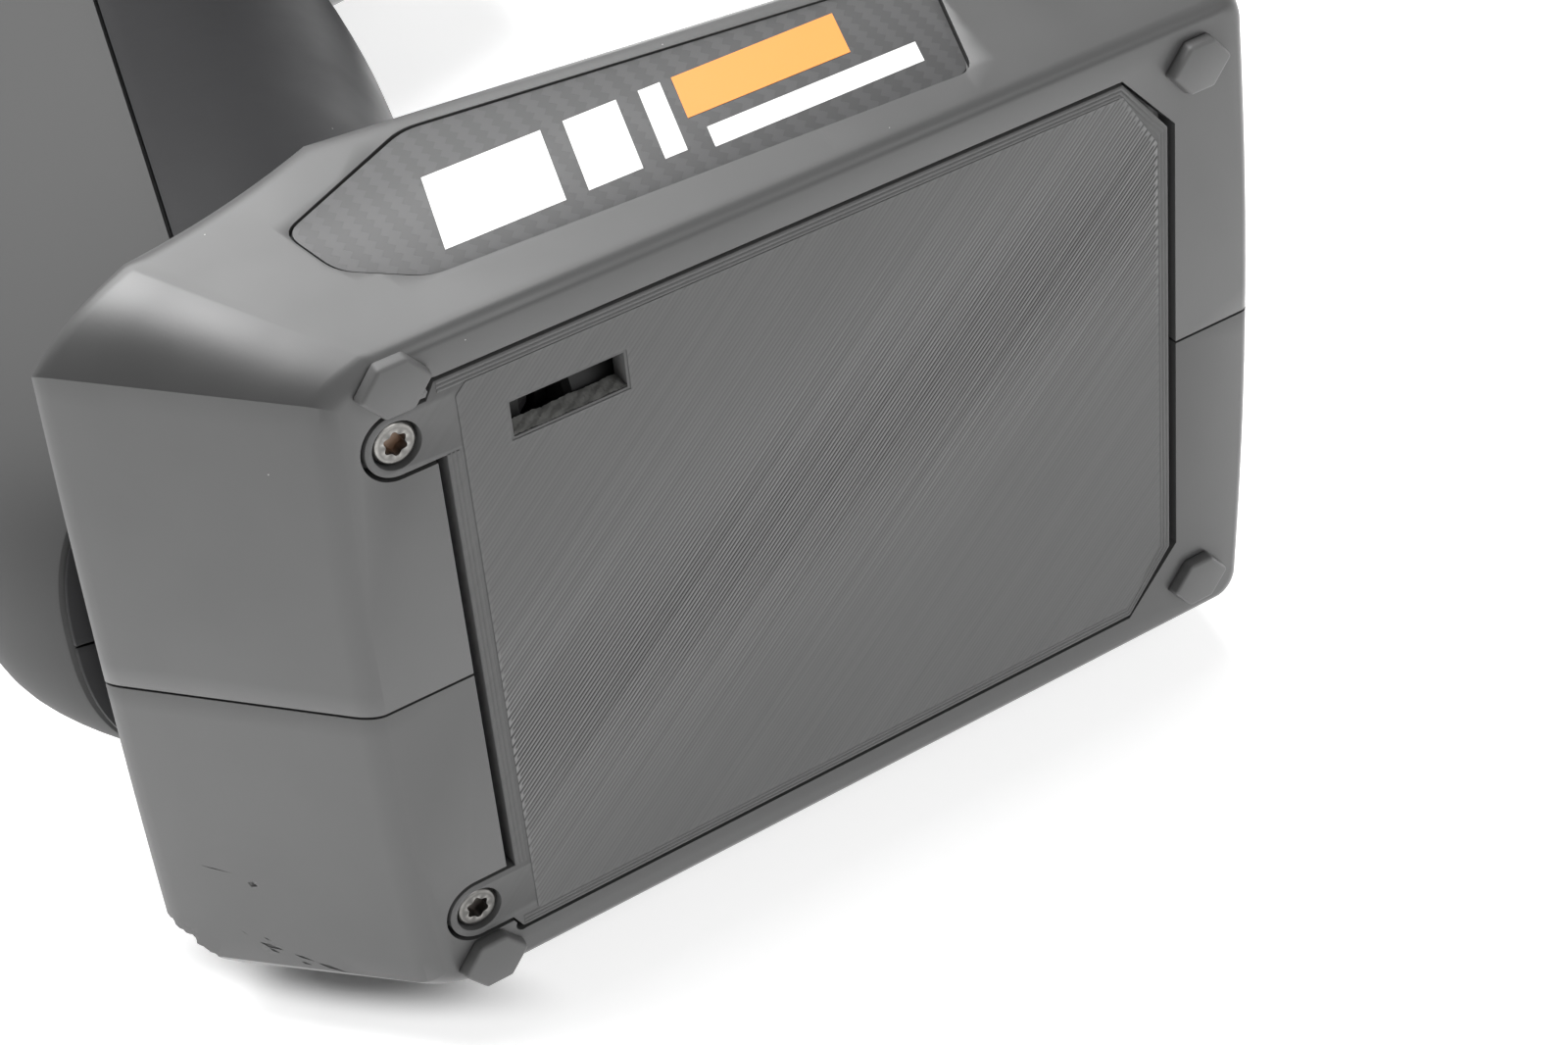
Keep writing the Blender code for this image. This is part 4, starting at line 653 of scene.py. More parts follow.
@dataclass(frozen=True)
class MouldedFinish(Finish):
    """Moulded plastic or rubber with a spark-eroded grain, dust and scuffs."""

    dust: float = 0.10
    dust_spacing: float = 0.0022
    dust_radius: float = 0.00007
    dust_colour: Triple = (0.34, 0.34, 0.33)
    polish: float = 0.07
    polish_patch: float = 0.018
    polish_range: Pair = (0.3, 0.7)
    # Place in the casing's axes, radius and strength of each scuff.
    scuffs: tuple[tuple[Triple, float, float], ...] = ()
    scuff_colour: Triple = (0.20, 0.20, 0.20)
    scuff_depth: float = 12.0
    scuff_share: float = 0.5
    # Size of a torn patch as a share of the scuff's radius, and the noise above which it is torn.
    scuff_patch: Pair = (0.30, 0.52)

    def paint(self, board: Board) -> None:
        """Grain, uneven polish, dust specks, and scuffs that are torn where noise is high.

        Args:
            board: The material's nodes.
        """
        specks = board.specks(self.dust_spacing, self.dust_radius, self.dust)
        colour = board.blend(specks, self.mottled(board), self.dust_colour)
        height = board.noise(self.grain, 3.0)
        for place, radius, strength in self.scuffs:
            size, level = self.scuff_patch
            patch = board.math("GREATER_THAN", board.noise(radius * size, 5.0), level)
            torn = board.math("MULTIPLY", board.near(ORIGIN + place, radius), patch)
            pale = board.math("MULTIPLY", torn, self.scuff_share * strength)
            colour = board.blend(pale, colour, self.scuff_colour)
            deep = board.math("MULTIPLY", torn, self.scuff_depth * strength)
            height = board.math("SUBTRACT", height, deep)
        board.join(colour, "Base Color")
        gloss = board.ramp(board.noise(self.polish_patch, 4.0), self.polish_range,
                           (self.roughness - self.polish, self.roughness + self.polish))
        board.join(gloss, "Roughness")
        board.emboss(height, self.grain_depth)


@dataclass(frozen=True)
class PrintedFinish(Finish):
    """Layer-printed plastic whose sheen changes from one laid line to the next, with a painted highlight
    on the ridges and painted shade in the grooves.
    """

    shades: Pair = (0.80, 1.22)
    # Colour factors of the painted highlight on the ridges and of the painted shade in the grooves.
    ridge_painted_highlight: float = 2.1
    groove_painted_shade: float = 0.02
    stretch: float = 0.03
    streak: float = 1.6
    cloud: float = 0.020
    polish: float = 0.08
    polish_range: Pair = (0.7, 1.3)
    dust: Triple = (0.0030, 0.00008, 0.05)
    dust_colour: Triple = (0.32, 0.32, 0.31)

    def paint(self, board: Board) -> None:
        """Long streaks follow the printed lines; marks paint a highlight on the ridges and shade in the
        grooves.

        Args:
            board: The material's nodes.
        """
        turn = board.add("Mapping", Vector=board.places(),
                         Rotation=(0.0, 0.0, -math.radians(LINE_ANGLE)))
        drawn = board.add("Mapping", Vector=turn.outputs[0], Scale=(self.stretch, 1.0, 1.0))
        streak = board.noise(LINE_PITCH * self.streak, 2.0, drawn.outputs[0])
        uneven = board.math("ADD", streak, board.noise(self.cloud, 4.0))
        colour = board.blend(board.math("MULTIPLY", uneven, 0.5), *map(self.shade, self.shades))
        # Ridge marks paint a highlight on the ridges, groove marks paint shade in the grooves.
        colour = board.blend(board.marks("ridge"), colour, self.shade(self.ridge_painted_highlight))
        colour = board.blend(board.marks("groove"), colour, self.shade(self.groove_painted_shade))
        board.join(board.blend(board.specks(*self.dust), colour, self.dust_colour), "Base Color")
        gloss = board.ramp(uneven, self.polish_range,
                           (self.roughness - self.polish, self.roughness + self.polish))
        board.join(gloss, "Roughness")
        board.emboss(streak, self.grain_depth)


@dataclass(frozen=True)
class TwillFinish(Finish):
    """Printed woven look: tows that pass over and under each other two by two."""

    tow: float = 0.0009
    slant: float = 45.0
    shades: Pair = (0.86, 1.14)

    def paint(self, board: Board) -> None:
        """A tow lies on top where the sum of its row and column, modulo four, is below two.

        Args:
            board: The material's nodes.
        """
        turn = board.add("Mapping", Vector=board.places(),
                         Rotation=(math.radians(self.slant), 0.0, 0.0))
        split = board.add("SeparateXYZ", Vector=turn.outputs[0]).outputs
        row, column = (board.math("FLOOR", board.math("DIVIDE", split[k], self.tow), 0.0)
                       for k in (1, 2))
        step = board.math("FLOORED_MODULO", board.math("ADD", row, column), 4.0)
        over = board.math("LESS_THAN", step, 2.0)
        board.join(board.blend(over, *map(self.shade, self.shades)), "Base Color")
        board.emboss(over, self.grain_depth)


@dataclass(frozen=True)
class ScrewFinish(Finish):
    """Blackened steel, bright where the rim is worn and brown where it has rusted."""

    rust: Triple = (0.16, 0.09, 0.05)
    bright: Triple = (0.46, 0.45, 0.43)
    patch: float = 0.0008

    def paint(self, board: Board) -> None:
        """The piece's wear and rust marks choose between three colours.

        Args:
            board: The material's nodes.
        """
        rust = board.marks("rust")
        wear = board.math("MULTIPLY", board.marks("wear"), board.noise(self.patch, 3.0))
        colour = board.blend(wear, self.colour, self.bright)
        board.join(board.blend(rust, colour, self.rust), "Base Color")
        board.join(board.math("SUBTRACT", self.metallic, rust), "Metallic")
        board.emboss(board.noise(self.grain, 3.0), self.grain_depth)


CASING = MouldedFinish("casing_moulded", (0.052, 0.052, 0.052), 0.36, grain=0.00035,
                       grain_depth=0.0000035)
CASING_WORN = replace(CASING, name="casing_moulded_worn", scuffs=(
    ((-0.0248, -0.0180, 0.0133), 0.0006, 1.0), ((-0.0340, -0.0240, 0.0203), 0.0022, 0.5),
    ((-0.0338, -0.0180, 0.0130), 0.0013, 0.5)))
# Darker than the casing's plastic: this colour paints the shade that falls on the handle.
HANDLE_PAINTED_SHADE = MouldedFinish("handle_moulded", (0.014, 0.014, 0.015), 0.46, specular=0.12, grain=0.0004,
                       grain_depth=0.000003)
GRIP = MouldedFinish("grip_rubber", (0.118, 0.118, 0.116), 0.70, grain=0.0007, grain_depth=0.00006,
                     dust=0.22, dust_radius=0.00009)
TORN = Finish("torn_threads", (0.24, 0.24, 0.23), 0.6, grain=0.0004, grain_depth=0.00006, mottle=0.35)
# Near black, which also paints the shade inside the bay seen through the cover's slot.
TRAY_PAINTED_SHADE = Finish("tray_black_painted_shade", (0.010, 0.010, 0.010), 0.6)
PRINTED = PrintedFinish("cover_printed", (0.094, 0.094, 0.094), 0.40, specular=0.10,
                        grain_depth=0.00001)
FOOT = MouldedFinish("foot_rubber", (0.070, 0.070, 0.070), 0.50, grain_depth=0.000006, dust=0.25)
LABEL = TwillFinish("label_twill", (0.046, 0.046, 0.047), 0.44, specular=0.40, grain_depth=0.00002)
STRIPE_WHITE = Finish("stripe_white", (0.83, 0.83, 0.82), 0.45, mottle=0.02)
STRIPE_ORANGE = Finish("stripe_orange", (0.80, 0.27, 0.035), 0.45, mottle=0.03)
SCREW = ScrewFinish("screw_black", (0.075, 0.073, 0.070), 0.36, 1.0, grain=0.0003,
                    grain_depth=0.000006)
KEY = MouldedFinish("key_moulded", (0.075, 0.076, 0.078), 0.48, grain=0.0003, dust=0.04)
WHEEL = MouldedFinish("wheel_moulded", (0.070, 0.071, 0.073), 0.42, grain=0.0004, dust=0.04)
FOAM = MouldedFinish("tyre_foam", (0.028, 0.028, 0.029), 0.92, grain=0.0009, grain_depth=0.00022,
                     dust=0.0)
STEEL = Finish("bright_steel", (0.56, 0.56, 0.57), 0.30, 1.0, grain=0.0004, grain_depth=0.000003)
LAMINATE = Finish("board_laminate", (0.020, 0.110, 0.050), 0.45)
SENSOR = Finish("sensor_plastic", (0.020, 0.060, 0.200), 0.45)
WINDOW = Finish("window_smoked", (0.014, 0.016, 0.018), 0.08, mottle=0.02, grain_depth=0.0)
PANEL = Finish("panel_grey", (0.320, 0.370, 0.330), 0.35)
# Near black, which paints the shade inside the bay seen through the cover's slot.
JACKET_PAINTED_SHADE = Finish("cell_jacket", (0.012, 0.012, 0.013), 0.40)
LENS = Finish("lens_red", (0.450, 0.030, 0.020), 0.15)
CARD = Finish("card_black", (0.02, 0.02, 0.02), 0.9)


# Base


@dataclass
class BaseCasing:
    """Flared base in two halves, with cover rebate, battery bay, label recess and handle socket."""

    half_width: float = 0.0385
    rear: float = -0.0071
    front: float = 0.1005
    edge_round: float = 0.0016
    edge_draw: float = 0.75
    rear_bow: float = 0.0010
    front_bow: float = 0.0012
    rear_corner: Pair = (0.0026, 0.0056)
    front_corner: Pair = (0.0030, 0.0026)
    flare: float = 0.22
    rim_rear: Pair = (-0.0257, 0.0220)
    rim_peak: Pair = (0.0078, 0.0284)
    rim_front_height: float = 0.0197
    rim_front_reach: float = 0.0045
    rim_rear_bow: float = 0.0004
    rim_rear_corner: Pair = (0.0062, 0.0112)
    facet_bulge: float = 0.33
    rim_front_corner: Pair = (0.0040, 0.0040)
    rim_round: float = 0.0030
    rim_lift: float = 0.0013
    # How far the deck is drawn in and raised, and the shares of that on the way to it.
    shoulder: Pair = (0.0085, 0.0045)
    shoulder_middle: Pair = (0.6, 0.66)
    # Shares of the deck's width, and of its crown there.
    deck_rows: tuple[Pair, ...] = ((0.75, 0.4), (0.5, 0.7), (0.25, 0.92), (0.02, 1.0))
    deck_crown: float = 0.0012
    bay_roof: float = 0.0215
    socket_gap: float = 0.0004
    screw_depth: float = 0.0120
    # Radius and depth of the relief hole by an ear, and its way out from the screw and behind the cover.
    relief_hole: Row = (0.0008, 0.0040, 0.0047, 0.0002)
    label_depth: float = 0.0009
    label_reach: float = 0.002
    ease: float = 0.00022
    crease: float = 27.0
    loop_steps: int = 7
    # Points on the rear edge, the flank behind and before the peak, the front corner and edge.
    counts: tuple[int, ...] = (14, 15, 22, 13, 12)
    facet_points: int = 33
    # Ends of the edge along which the corner broke, then size and roughness of the break.
    chip: tuple[Triple, Triple] = ((-0.0320, -0.0247, 0.0211), (-0.0368, -0.0218, 0.0178))
    chip_reach: float = 0.010
    chip_depth: float = 0.008
    chip_rough: float = 0.00021
    chip_points: int = 60
    chip_waves: tuple[Row, ...] = ((1.0, 1.9, 0.8, 0.0), (0.6, 4.3, -2.2, 1.0), (0.5, 3.0, 6.1, 0.0),
                                   (0.3, 11.0, 5.0, 0.0))
    # Start and end of each gouge, across and up the rear slope, with its width and depth.
    gouges: tuple[tuple[Pair, Pair, float, float], ...] = (
        ((-0.0312, 0.0160), (-0.0334, 0.0141), 0.00024, 0.00006),
        ((-0.0331, 0.0144), (-0.0341, 0.0118), 0.00075, 0.00016),
        ((-0.0338, 0.0136), (-0.0346, 0.0124), 0.00050, 0.00014),
        ((-0.0342, 0.0117), (-0.0351, 0.0094), 0.00040, 0.00012),
        ((-0.0350, 0.0099), (-0.0361, 0.0069), 0.00055, 0.00014),
        ((-0.0352, 0.0112), (-0.0357, 0.0098), 0.00040, 0.00010),
        ((-0.0322, 0.0139), (-0.0331, 0.0127), 0.00030, 0.00008),
        ((-0.0229, 0.0182), (-0.0238, 0.0138), 0.00020, 0.00006),
        ((-0.0246, 0.0138), (-0.0250, 0.0129), 0.00090, 0.00026))
    gouge_middle: float = 0.4

    def outline(self, rear: float, front: float, bows: Pair, corner: Pair,
                front_corner: Pair) -> np.ndarray:
        """Closed outline: bowed rear, facet, straight flank, elliptic corner, bowed front, mirrored.

        Args:
            rear: Rear end on the parting plane.
            front: Front end on the parting plane.
            bows: How far the rear and front bow in by the time they reach their corners.
            corner: Width and length of the rear facet.
            front_corner: Radii of the front corner.

        Returns:
            Rows of X and Y.
        """
        rear_edge, front_edge = self.half_width - corner[0], self.half_width - front_corner[0]
        start, end = rear + bows[0] + corner[1], front - bows[1] - front_corner[1]
        rear_count, behind, before, turn, front_count = self.counts
        across = np.linspace(0.0, rear_edge, rear_count)[:-1]
        back = np.linspace(front_edge, 0.0, front_count)[1:]
        side_y = np.concatenate([np.linspace(start, self.rim_peak[0], behind)[1:],
                                 np.linspace(self.rim_peak[0], end, before)[1:-1]])
        half = np.vstack([
            np.column_stack([across, rear + bows[0] * (across / rear_edge) ** 2]),
            self.facet((rear_edge, start), corner),
            np.column_stack([np.full(len(side_y), self.half_width), side_y]),
            arc((front_edge, end), front_corner, 0.0, 90.0, turn),
            np.column_stack([back, front - bows[1] * (back / front_edge) ** 2])])
        return np.vstack([half, half[::-1][1:-1] * (-1.0, 1.0)])

    def facet(self, centre: Pair, corner: Pair) -> np.ndarray:
        """Bulging facet across a rear corner, with a crease at each end.

        It is a quadratic curve. The point that pulls it out lies on the way from the chord's middle to
        the sharp corner, as far as the bulge says.

        Args:
            centre: Corner of the box that holds the facet, away from the outline.
            corner: Width and length of that box.

        Returns:
            Rows of X and Y from the rear to the flank.
        """
        start = np.array([centre[0], centre[1] - corner[1]])
        end = np.array([centre[0] + corner[0], centre[1]])
        sharp = np.array([end[0], start[1]])
        pull = (start + end) / 2 * (1.0 - self.facet_bulge) + sharp * self.facet_bulge
        return quadratic(start, pull, end, self.facet_points)

    def rim_height(self, y: np.ndarray) -> np.ndarray:
        """Rim height: the square of the way up to the peak, then a straight fall to the front.

        Args:
            y: Distances forward.

        Returns:
            Heights at those distances.
        """
        (rear, low), (peak, high) = self.rim_rear, self.rim_peak
        rise = np.clip((y - rear) / (peak - rear), 0.0, 1.0) ** 2
        fall = np.clip((y - peak) / (self.front - peak), 0.0, 1.0)
        return low + (high - low) * rise - (high - self.rim_front_height) * fall

    def loop(self, share: float, inward: float = 0.0, lift: float = 0.0) -> np.ndarray:
        """A loop of the skin, on the straight lines from the underside's outline to the rim.

        Args:
            share: Zero on the underside, one on the rim.
            inward: How far the loop is drawn in at its sides and ends.
            lift: How far it is raised.

        Returns:
            Rows of X, Y and Z.
        """
        low = self.outline(self.rear, self.front, (self.rear_bow, self.front_bow),
                           self.rear_corner, self.front_corner)
        flat = self.outline(self.rim_rear[0], self.front + self.rim_front_reach,
                            (self.rim_rear_bow, self.front_bow), self.rim_rear_corner,
                            self.rim_front_corner)
        height = self.rim_height(flat[:, 1])
        flared = flat[:, 0] * (1.0 + self.flare * height / self.half_width)
        low = np.column_stack([low, np.zeros(len(low))])
        line = low + (np.column_stack([flared, flat[:, 1], height]) - low) * share
        middle = (line[:, 1].max() + line[:, 1].min()) / 2
        line[:, 0] *= 1.0 - inward / line[:, 0].max()
        line[:, 1] = middle + (line[:, 1] - middle) * (1.0 - inward / (line[:, 1].max() - middle))
        line[:, 2] += lift
        return line

    def skin(self) -> Surface:
        """The outside: quarter circles at underside edge and rim, flared wall, shoulder and deck.

        Returns:
            The closed skin.
        """
        top = self.rim_rear[1]
        turn = np.radians(np.linspace(0.0, 90.0, self.loop_steps))
        loops = []
        for a in turn[:-1]:
            rise = self.edge_round * (1 - math.cos(a))
            edge = self.loop(rise / top, self.edge_round * self.edge_draw * (1 - math.sin(a)))
            edge[:, 2] = rise
            loops.append(edge)
        wall = (self.edge_round / top, 1.0 - (self.rim_round - self.rim_lift) / top)
        loops += [self.loop(share) for share in np.linspace(*wall, self.loop_steps)]
        for a in turn[1:]:
            rise = self.rim_lift - self.rim_round * (1 - math.sin(a))
            loops.append(self.loop(1.0 + min(rise, 0.0) / top, self.rim_round * (1 - math.cos(a)),
                                   max(rise, 0.0)))
        deck = self.loop(1.0, *self.shoulder)
        loops += [self.loop(1.0, *np.multiply(self.shoulder, self.shoulder_middle)), deck]
        loops += [deck * (width, 1.0, 1.0) + (0.0, 0.0, self.deck_crown * crown)
                  for width, crown in self.deck_rows]
        return loft(np.array(loops))

    def slope(self, x: float, z: float) -> Vector:
        """Point of the rear slope: underside and rim are bowed by the square of the way across.

        Args:
            x: Distance to the right.
            z: Height.

        Returns:
            The point.
        """
        low = self.rear + self.rear_bow * (x / (self.half_width - self.rear_corner[0])) ** 2
        edge = self.half_width - self.rim_rear_corner[0]
        high = self.rim_rear[0] + self.rim_rear_bow * (x / edge) ** 2
        return Vector((x, low + (high - low) * z / self.rim_rear[1], z))

    @property
    def inward(self) -> Vector:
        """Way into the casing, square to the rear slope."""
        rise = self.slope(0.0, self.rim_rear[1]) - self.slope(0.0, 0.0)
        return rise.cross(Vector((1.0, 0.0, 0.0))).normalized()

    def broken_corner(self) -> Surface:
        """Space of the corner that has broken off, with a rough inner face.

        The face's height over a plane through the chip's ends is a sum of sine waves of the two ways
        along it.

        Returns:
            The closed space.
        """
        start, end = (Vector(place) for place in self.chip)
        along = (end - start).normalized()
        out = self.inward.cross(along).normalized()
        reach = np.linspace(-self.chip_reach, self.chip_reach, self.chip_points)
        u, v = np.meshgrid(reach, reach)
        front = np.stack([u, v, self.chip_rough * ripples(u, v, self.chip_waves)], -1)
        back = np.stack([u, v, np.full_like(u, self.chip_depth)], -1)
        space = loft(np.concatenate([front, back[:, ::-1]], axis=1))
        return space.moved(axes_frame(along, self.inward, out, (start + end) / 2))

    def gouge(self, start: Vector, end: Vector, width: float, depth: float) -> Surface:
        """A splinter-shaped cut: two ends, two sides, a bottom and a top joined by eight faces.

        Args:
            start: One end on the rear slope.
            end: The other end.
            width: Width between the sides.
            depth: How far the bottom lies below the slope.

        Returns:
            The closed splinter.
        """
        side = (end - start).cross(self.inward).normalized() * (width / 2)
        middle, deep = start.lerp(end, self.gouge_middle), self.inward * depth
        points = np.array([start, middle + side, end, middle - side, middle + deep, middle - deep])
        ring = [(k, (k + 1) % 4) for k in range(4)]
        return Surface(points, [(a, b, 4) for a, b in ring] + [(b, a, 5) for a, b in ring])

    def wear(self, half: Item) -> None:
        """Break the corner off a half and gouge its rear slope."""
        cuts = (self.gouge(self.slope(*start), self.slope(*end), *size)
                for start, end, *size in self.gouges)
        work(half, Boolean.CUT, self.broken_corner(), *cuts)

    def build(self, cover: BatteryCover, handle: Handle, label: LabelPlate) -> None:
        """Make and dress both halves.

        Args:
            cover: The battery cover, which gives the rebate.
            handle: The handle, which gives the socket.
            label: The label plate, which gives the recess.
        """
        rebate = prism(cover.outline(cover.side_gap, cover.end_gap), -BEYOND, cover.thick + FIT)
        bay = prism(cover.bay(), -BEYOND, self.bay_roof)
        hole = cylinder(cover.shank + FIT, -BEYOND, self.screw_depth)
        radius, depth, aside, behind = self.relief_hole
        relief = cylinder(radius, -BEYOND, depth)
        for side in Side:
            half = self.skin().as_object(f"casing_base_{side.word}")
            work(half, Boolean.CUT, rebate, bay, handle.skin(self.socket_gap, *handle.socket_grid),
                 beyond_parting(side), *(hole.at(ear.value * cover.ear_x, 0.0) for ear in Side),
                 relief.at(side.value * (cover.ear_x + aside), cover.rear - behind))
            if side is Side.RIGHT:
                work(half, Boolean.CUT, label.plate(FIT, -self.label_depth, self.label_reach))
            ease_edges(half, self.ease, angle=self.crease)
            if side is Side.LEFT:
                self.wear(half)
            dress(half, CASING_WORN if side is Side.LEFT else CASING, "casing",
                  [f"base_{side.word}"])


@dataclass
class LabelPlate:
    """Recessed plate on the right flank, woven in look, with plain slanted stripes."""

    casing: BaseCasing
    # Corners by their distance forward and up the flank.
    corners: tuple[Pair, ...] = ((0.0006, 0.0188), (0.0168, 0.0257), (0.0738, 0.0198),
                                 (0.0684, 0.0047), (0.0092, 0.0071), (0.0023, 0.0120))
    corner_round: float = 0.0018
    corner_points: int = 6
    sink: float = 0.00015
    thick: float = 0.0006
    ease: float = 0.00010
    ink: float = 0.00004
    ink_bed: float = 0.00002
    lean: float = 0.3125
    # Start, end, foot and top of each stripe, and its ink.
    bars: tuple[tuple[Row, Finish], ...] = (
        ((0.0120, 0.0250, 0.0094, 0.0190), STRIPE_WHITE),
        ((0.0275, 0.0335, 0.0094, 0.0190), STRIPE_WHITE),
        ((0.0360, 0.0385, 0.0094, 0.0190), STRIPE_WHITE),
        ((0.0410, 0.0600, 0.0132, 0.0190), STRIPE_ORANGE),
        ((0.0410, 0.0655, 0.0084, 0.0112), STRIPE_WHITE))

    def flank(self) -> Matrix:
        """Frame on the flank: X forward, Y up the slope, Z out of it.

        Returns:
            The frame.
        """
        slope = math.atan(self.casing.flare)
        up = (math.sin(slope), 0.0, math.cos(slope))
        out = (math.cos(slope), 0.0, -math.sin(slope))
        return axes_frame((0.0, 1.0, 0.0), up, out, (self.casing.half_width, 0.0, 0.0))

    def plate(self, growth: float, low: float, high: float) -> Surface:
        """The plate with rounded corners, each moved out from the middle.

        Args:
            growth: How far a corner is moved out.
            low: Lower level over the flank.
            high: Upper level over the flank.

        Returns:
            The closed plate.
        """
        corners = np.array(self.corners)
        out = corners - corners.mean(axis=0)
        corners = corners + out / np.linalg.norm(out, axis=1, keepdims=True) * growth
        closed = np.vstack([corners[-1:], corners, corners[:1]])
        rows = rounded_profile([(*place, self.corner_round) for place in closed],
                               self.corner_points)[1:-1]
        return prism(rows, low, high).moved(self.flank())

    def build(self) -> None:
        """Make and dress the plate and its printed stripes."""
        top = -self.sink
        plate = self.plate(0.0, top - self.thick, top).as_object("label_plate_twill")
        ease_edges(plate, self.ease)
        dress(plate, LABEL, "casing", ["label_plate"])
        for number, ((start, end, low, high), ink) in enumerate(self.bars, 1):
            lean = self.lean * (high - low)
            outline = np.array([(start, low), (end, low), (end + lean, high), (start + lean, high)])
            bar = prism(outline, top - self.ink_bed, top + self.ink).moved(self.flank())
            dress(bar.as_object(f"label_bar_{number}"), ink, "casing")


@dataclass(frozen=True)
class LaidLines:
    """Relief of the cover's laid lines: low round ridges with grooves between them."""

    height: float = 0.00008
    turn: float = 0.00030
    # Middle of the clearest band, where the grooves are deepest and the ridges carry their painted
    # highlight, its slant and width, and the share of relief and highlight that is left elsewhere.
    band: Row = (0.0150, 0.38, 0.0125, 0.12)
    uneven: Pair = (0.66, 1.06)
    reach: float = 0.110
    columns: int = 10
    rows_per_line: int = 8
    sharpness: float = 1.5
    seed: int = 11

    @property
    def ways(self) -> np.ndarray:
        """Unit vectors along the lines and across them."""
        angle = math.radians(LINE_ANGLE)
        return np.array([(math.cos(angle), math.sin(angle)), (-math.sin(angle), math.cos(angle))])

    def span(self, polygon: np.ndarray, across: np.ndarray) -> tuple[np.ndarray, np.ndarray]:
        """Where lines enter and leave a convex polygon.

        Each edge bounds the way along a line from below or above, by the sign of the line's approach.

        Args:
            polygon: Rows of X and Y, anticlockwise.
            across: Distances of the lines across their direction.

        Returns:
            Ways along the lines at which they enter and leave.
        """
        way, aside = self.ways
        edges = np.roll(polygon, -1, axis=0) - polygon
        normals = np.column_stack([edges[:, 1], -edges[:, 0]])
        room = np.sum(normals * polygon, axis=1)[:, None] - np.outer(normals @ aside, across)
        approach = normals @ way
        ends = room / approach[:, None]
        return ends[approach < 0.0].max(axis=0), ends[approach > 0.0].min(axis=0)

    def show(self, across: np.ndarray, along: np.ndarray) -> np.ndarray:
        """Share of a groove's full depth and of a ridge's painted highlight: a bell curve of the
        distance from a slanting band.
        """
        middle, slant, width, least = self.band
        return least + (1.0 - least) * np.exp(-((across - middle - slant * along) / width) ** 2)

    def build(self, edge: np.ndarray, hole: np.ndarray) -> Item:
        """Lay lines over a field with a hole in it.

        A groove's depth is a power of the distance from a ridge's middle. Neighbours join in a turn at
        one end and at the other by turns, so every second groove stops short of the border.

        Args:
            edge: Outline of the field.
            hole: Outline of the hole.

        Returns:
            The relief, marked for its finish with painted shade in the grooves and a painted highlight
            on the ridges.
        """
        count = int(self.reach / LINE_PITCH)
        fine = self.rows_per_line
        place = np.arange(-count // 3 * fine, count * fine) / fine
        across = place * LINE_PITCH
        groove = np.abs((place % 1.0) * 2.0 - 1.0) ** self.sharpness
        odd = np.floor(place + 0.5) % 2 > 0.5
        enter, leave = self.span(edge, across)
        hole_in, hole_out = self.span(hole, across)
        crossed = hole_in < hole_out
        first, last = np.nonzero(crossed)[0][[0, -1]]
        across[first], across[last] = across[first - 1], across[last + 1]
        before, after = np.where(crossed, hole_in, leave), np.where(crossed, hole_out, leave)
        sheet = self.strips(across, groove, odd, enter, before).joined(
            self.strips(across, groove, odd, after, leave))
        item = sheet.as_object("cover_laid_lines")
        spots = vertex_array(item)
        along, aside = self.ways @ spots[:, :2].T
        # Groove marks paint shade in the grooves; ridge marks paint a highlight on the ridges in the
        # band, times a random tone for each line.
        mark(item, "groove", np.clip(spots[:, 2] / self.height + 1.0, 0.0, 1.0))
        uneven = np.random.default_rng(self.seed).uniform(*self.uneven, count * 2)
        number = np.floor(aside / LINE_PITCH).astype(int) + count // 2
        mark(item, "ridge", self.show(aside, along) * uneven[number])
        return item

    def strips(self, across: np.ndarray, groove: np.ndarray, odd: np.ndarray, start: np.ndarray,
               end: np.ndarray) -> Surface:
        """A sheet of lines between their starts and ends, left out where a line is too short to turn.

        Args:
            across: Distances of the rows across the laid direction.
            groove: Depth at each row, from zero on a ridge to one in a groove.
            odd: Rows whose groove is closed at its start; the others close at their end.
            start: Ways along at which the rows start.
            end: Ways along at which they end.

        Returns:
            The open sheet.
        """
        turn, (way, aside) = self.turn, self.ways
        first, last = (start + 2 * turn)[:, None], (end - 2 * turn)[:, None]
        inner = first + (last - first) * np.linspace(0.0, 1.0, self.columns)
        along = np.column_stack([start, start + turn, inner, end - turn, end])
        depth = groove[:, None] * self.show(across[:, None], along)
        depth[odd, :2] = 0.0
        depth[~odd, -2:] = 0.0
        flat = across[:, None, None] * aside + along[..., None] * way
        sheet = open_sheet(np.concatenate([flat, ((depth - 1.0) * self.height)[..., None]], -1))
        long = (end - start) > 5 * turn
        even = np.maximum(np.abs(np.diff(start)), np.abs(np.diff(end))) < turn
        quads = np.array(sheet.faces).reshape(len(across) - 1, -1, 4)[long[:-1] & long[1:] & even]
        used, quads = np.unique(quads, return_inverse=True)
        return Surface(sheet.vertices[used], [tuple(q) for q in quads.reshape(-1, 4).tolist()])


